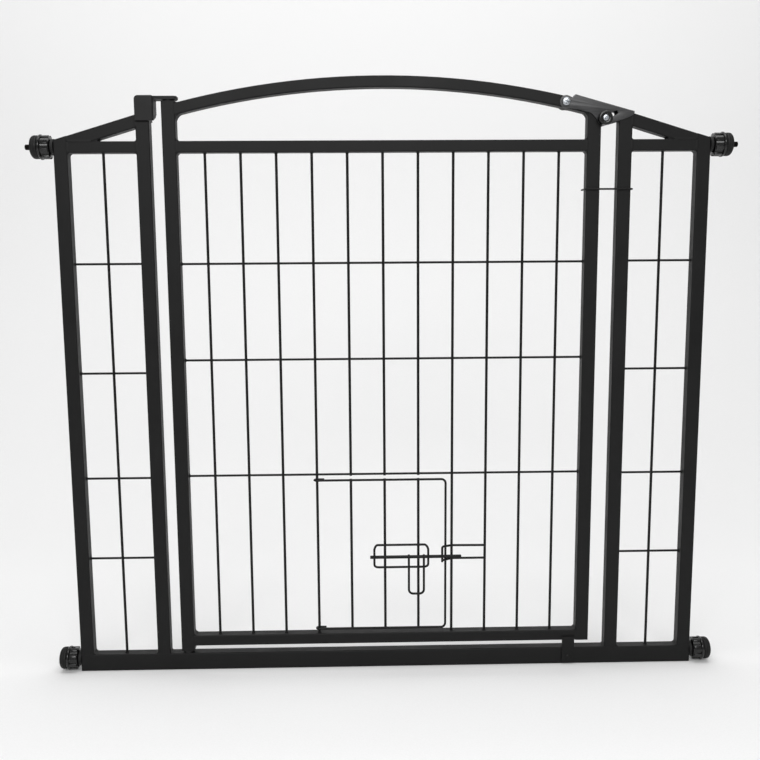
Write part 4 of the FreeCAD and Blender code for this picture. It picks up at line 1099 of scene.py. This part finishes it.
for nodeName, body, pieceName, bore in (("latch_pivot_nut", "door", "pivot_hex_nut", 2.5),
                                        ("lock_pin_nut", "lock_slider", "lock_hex_nut", 2.3)):
    nut = hexNut(pieceName, middleOf(nodeName), lowOf(nodeName).y, highOf(nodeName).y, 8.0, bore)
    finishPiece(nut, body, "zinc_steel", [nodeName], sharpAngle=25.0)

knob = {"radius": 9.3, "round": 2.0, "recess": 4.4, "recessDepth": 1.2, "bore": 2.4}
knobBack, knobFace = highOf("lock_knob").y, lowOf("lock_knob").y
depth, edge = knobBack - knobFace, knob["round"]
profile = [(0, knob["bore"]), (0, knob["radius"] - 0.6), (0.6, knob["radius"])]
profile += [(depth - edge + edge * math.sin(a), knob["radius"] - edge + edge * math.cos(a))
            for a in [math.pi / 2 * k / 6 for k in range(7)]]
profile += [(depth, knob["recess"] + 0.9), (depth - 0.25, knob["recess"] + 0.3),
            (depth - knob["recessDepth"], knob["recess"]), (depth - knob["recessDepth"], knob["bore"]),
            (0, knob["bore"])]
knobBody = turned("knob_body", profile, (lockPin.x, knobBack, lockPin.z), "-Y", 96)
finishPiece(knobBody, "lock_slider", "gloss_plastic", ["lock_knob"])
screwHead = {"radius": 4.0, "height": 1.6, "dome": 1.2, "recess": (1.9, 0.5, 1.1), "shank": 2.3}
pinLow, pinHigh = lowOf("lock_pin").y, highOf("lock_pin").y
seat = pinLow + screwHead["height"]
head = crossRecessHead("lock_head", lockPin, seat, screwHead["radius"], screwHead["height"], screwHead["dome"],
                       screwHead["recess"])
shank = turned("lock_shank", shankProfile(pinHigh - seat, screwHead["shank"], 0.4, 0.4),
               (lockPin.x, seat, lockPin.z), "Y", 32)
finishPiece(joined("lock_screw", [head, shank]), "lock_slider", "zinc_steel", ["lock_pin"])
print("latch made")


# wall mounts: collar, spindle, hand wheel and bumper on each corner

collar = {"radius": 10.5, "bore": 5.05, "chamfer": (1.0, 0.9), "plugHalfDepth": 6.8, "plugFoot": 1.2,
          "plugTop": 22.8}
wheel = {"core": 13.6, "lug": 15.1, "ridge": 16.4, "ridgeShare": 0.71, "lugs": 8, "lugWidth": 6.4,
         "lugFoot": 11.5, "lugTaper": 0.86, "bore": 5.05}
bumper = {"radius": 15.2, "face": 10.5, "bore": 5.0, "neckBore": 4.4, "neck": 4.0}
thread = {"radius": 5.0, "pitch": 2.0, "depth": 0.9, "tipRadius": 3.6, "tipExtra": 2.4}
for level in ("upper", "lower"):
    for side, sign in (("left", -1), ("right", 1)):
        name = level + "_" + side
        axis = "X" if sign > 0 else "-X"
        z = middleOf(name + "_hand_wheel").z

        def span(node):
            # start and end of a node away from the gate
            a, b = abs(lowOf(node).x), abs(highOf(node).x)
            return min(a, b), max(a, b)

        # collar with a chamfered flange, and on the lower ones its plug inside the tube
        start, end = span(name + "_collar")
        flangeStart = highOf("threshold_rail").x
        length = end - flangeStart
        outer, bore, (back, drop) = collar["radius"], collar["bore"], collar["chamfer"]
        ring = [(0, bore), (0, outer), (length - back, outer), (length, outer - drop), (length, bore),
                (0, bore)]
        pieces = [turned("flange", ring, (sign * flangeStart, 0, z), axis, 64)]
        if level == "lower":
            half, foot, top = collar["plugHalfDepth"], collar["plugFoot"], collar["plugTop"]
            section = ((-half, foot), (half, foot), (half, top), (-half, top))
            pieces.append(boxFrom("plug", [(x, *point) for x in sorted((sign * start, sign * flangeStart))
                                           for point in section]))
        finishPiece(joined(name + "_collar_ring", pieces), "gate_frame", "moulded_plastic", [name + "_collar"])

        # hand wheel: lathe body, raised lugs and a ridge
        start, end = span(name + "_hand_wheel")
        length = end - start
        ridge = length * wheel["ridgeShare"]
        core, lug, crest, bore = wheel["core"], wheel["lug"], wheel["ridge"], wheel["bore"]
        profile = [(0, bore), (0, core - 1.2), (0.35, core - 0.5), (1.0, core), (ridge - 0.6, core),
                   (ridge - 0.1, core + 0.4), (ridge + 0.5, crest - 0.4), (ridge + 0.9, crest),
                   (ridge + 2.2, crest), (ridge + 2.7, crest - 0.4), (ridge + 3.1, lug), (length - 0.6, lug),
                   (length - 0.15, lug - 0.25), (length, lug - 0.8), (length, 10.0), (length - 1.2, 9.2),
                   (length - 1.2, bore), (0, bore)]
        lathe = turned("wheel_body", profile, (0, 0, 0), "X", 96)
        half, foot, top = wheel["lugWidth"] / 2, wheel["lugFoot"], lug + 0.25
        slim = half * wheel["lugTaper"]
        section = ((-half, foot), (half, foot), (slim, top), (-slim, top))
        lugShape = boxFrom("lug", [(x, *point) for x in (0.8, ridge + 0.2) for point in section])
        bevelled(lugShape, 0.6, 3, angle=30.0)
        growBy(lugShape, ringTree, {"Count": wheel["lugs"], "First": 0.5}, "gloss_plastic")
        whole = joined(name + "_wheel_grip", [lathe, lugShape])
        turn = Matrix.Identity(4) if sign > 0 else Matrix.Rotation(math.pi, 4, "Z")
        whole.data.transform(Matrix.Translation((sign * start, 0, z)) @ turn)
        finishPiece(whole, name + "_wheel", "gloss_plastic", [name + "_hand_wheel"], sharpAngle=50.0)

        # domed rubber bumper with a groove where it seats on its cup
        start, end = span(name + "_wall_bumper")
        length = end - start
        rim, face, seatAt = bumper["radius"], bumper["face"], length - bumper["neck"]
        bore = bumper["neckBore"] if level == "upper" else 0.0
        profile = [(0, bumper["bore"]), (0, rim - 0.7), (0.25, rim - 0.2), (0.8, rim), (2.1, rim),
                   (2.4, rim - 0.45), (2.9, rim - 0.45), (3.2, rim), (length - 4.2, rim),
                   (length - 3.0, rim - 0.35), (length - 2.0, rim - 0.95), (length - 1.2, rim - 1.8),
                   (length - 0.6, rim - 2.8),
                   (length - 0.2, face + 0.75), (length, face - 0.2), (length, 8.2), (length - 0.5, 7.7),
                   (length - 0.5, 6.3), (length, 5.8), (length, bore)]
        if level == "upper":
            profile += [(seatAt, bore), (seatAt, bumper["bore"]), (0, bumper["bore"])]
        else:
            profile = [(seatAt, 0.0), (seatAt, bumper["bore"])] + profile
        cushion = turned(name + "_bumper_pad", profile, (sign * start, 0, z), axis, 96)
        finishPiece(cushion, name + "_foot", "bumper_rubber", [name + "_wall_bumper"])

        # threaded spindle, chamfered at its inner end
        start, end = span(name + "_spindle")
        shoulderAt = span(name + "_wall_bumper")[1] - bumper["neck"]
        core = thread["radius"] - thread["depth"]
        threaded = shoulderAt - start
        profile = [(0, 0), (0, core - 0.8), (0.8, core), (threaded, core)]
        if level == "upper":
            neckEnd, tipEnd = threaded + bumper["neck"], end - start + thread["tipExtra"]
            tip = thread["tipRadius"]
            profile += [(threaded, bumper["neckBore"]), (neckEnd, bumper["neckBore"]), (neckEnd, tip),
                        (tipEnd - 0.6, tip), (tipEnd, tip - 0.6), (tipEnd, 0)]
        else:
            profile += [(threaded, 0)]
        rod = turned("core", profile, (sign * start, 0, z), axis, 48)
        turns = (threaded - 3.0) / thread["pitch"]
        ridgeHalf = thread["pitch"] * 0.5
        winding = newPiece("winding", [(0, 0, 0)])
        growBy(winding, threadTree, {"Core radius": thread["radius"] - ridgeHalf, "Turns": turns,
                                     "Pitch": thread["pitch"], "Steps": 28}, "blackened_steel")
        lay = Matrix.Translation((sign * (start + 1.5), 0, z)) @ Matrix.Rotation(sign * math.pi / 2, 4, "Y")
        winding.data.transform(lay)
        finishPiece(joined(name + "_threaded_rod", [rod, winding]), name + "_foot", "blackened_steel",
                    [name + "_spindle"], sharpAngle=30.0)
print("wall mounts made")


# floor, backdrop, camera and lights

studio = {"floorDrop": 0.0004, "floorFront": -3.4, "wallY": 1.5, "sweep": 0.9, "halfWidth": 4.5, "height": 3.4}


def sweptBackdrop():
    profile = [(studio["floorFront"], 0.0), (studio["wallY"] - studio["sweep"], 0.0)]
    bend = studio["sweep"]
    for a in [math.pi / 2 * k / 16 for k in range(1, 17)]:
        profile.append((studio["wallY"] - bend + bend * math.sin(a), bend * (1 - math.cos(a))))
    profile.append((studio["wallY"], studio["height"]))
    wide = studio["halfWidth"]
    points = [(x, y, z - studio["floorDrop"]) for y, z in profile for x in (-wide, wide)]
    faces = [(2 * i, 2 * i + 1, 2 * i + 3, 2 * i + 2) for i in range(len(profile) - 1)]
    sheet = newPiece("paper_sweep", points, faces)
    for face in sheet.data.polygons:
        face.use_smooth = True
    # matt background paper: almost white, with a breath of tooth
    material, tree, shader, place = newFinish("background_paper", "#EEEEEE", 0.9, specular=0.2)
    tooth = addNode(tree, "ShaderNodeTexNoise", {"Scale": perMetre(2.0), "Detail": 3.0}, {"Vector": place})
    tree.links.new(blended(tree, tooth.outputs[0], (0.3, "#ECECEC"), (0.7, "#F0F0F0")),
                   shader.inputs["Base Color"])
    sheet.data.materials.append(material)


sweptBackdrop()
view = {"place": (-0.0335, -1.2077, 0.5777), "turn": (82.1451, 0.3899, -1.2742), "lens": 42.1}
camera = placed("camera", bpy.data.cameras.new("camera"))
camera.location = view["place"]
camera.rotation_euler = [math.radians(a) for a in view["turn"]]
camera.data.lens = view["lens"]
camera.data.sensor_width = 36.0
camera.data.clip_start = 0.02
bpy.context.scene.camera = camera

lights = {
    "key": {"place": (-0.2, -2.6, 1.9), "aim": (0.0, 0.0, 0.6), "size": (2.4, 1.0), "watts": 48.0},
    "top": {"place": (0.0, -0.1, 2.9), "aim": (0.0, 0.45, 0.0), "size": (3.0, 1.6), "watts": 42.0},
}
for lightName, spec in lights.items():
    lamp = bpy.data.lights.new(lightName, "AREA")
    lamp.shape = "RECTANGLE"
    lamp.size, lamp.size_y = spec["size"]
    lamp.energy = spec["watts"]
    holder = placed(lightName, lamp)
    holder.location = spec["place"]
    aim = Vector(spec["aim"]) - Vector(spec["place"])
    holder.rotation_euler = aim.to_track_quat("-Z", "Y").to_euler()

world = bpy.data.worlds.new("studio")
world.use_nodes = True
world.node_tree.nodes["Background"].inputs["Color"].default_value = linearColour("#F4F4F4")
world.node_tree.nodes["Background"].inputs["Strength"].default_value = 0.4
bpy.context.scene.world = world
bpy.context.scene.view_settings.view_transform = "Standard"
print("studio made")
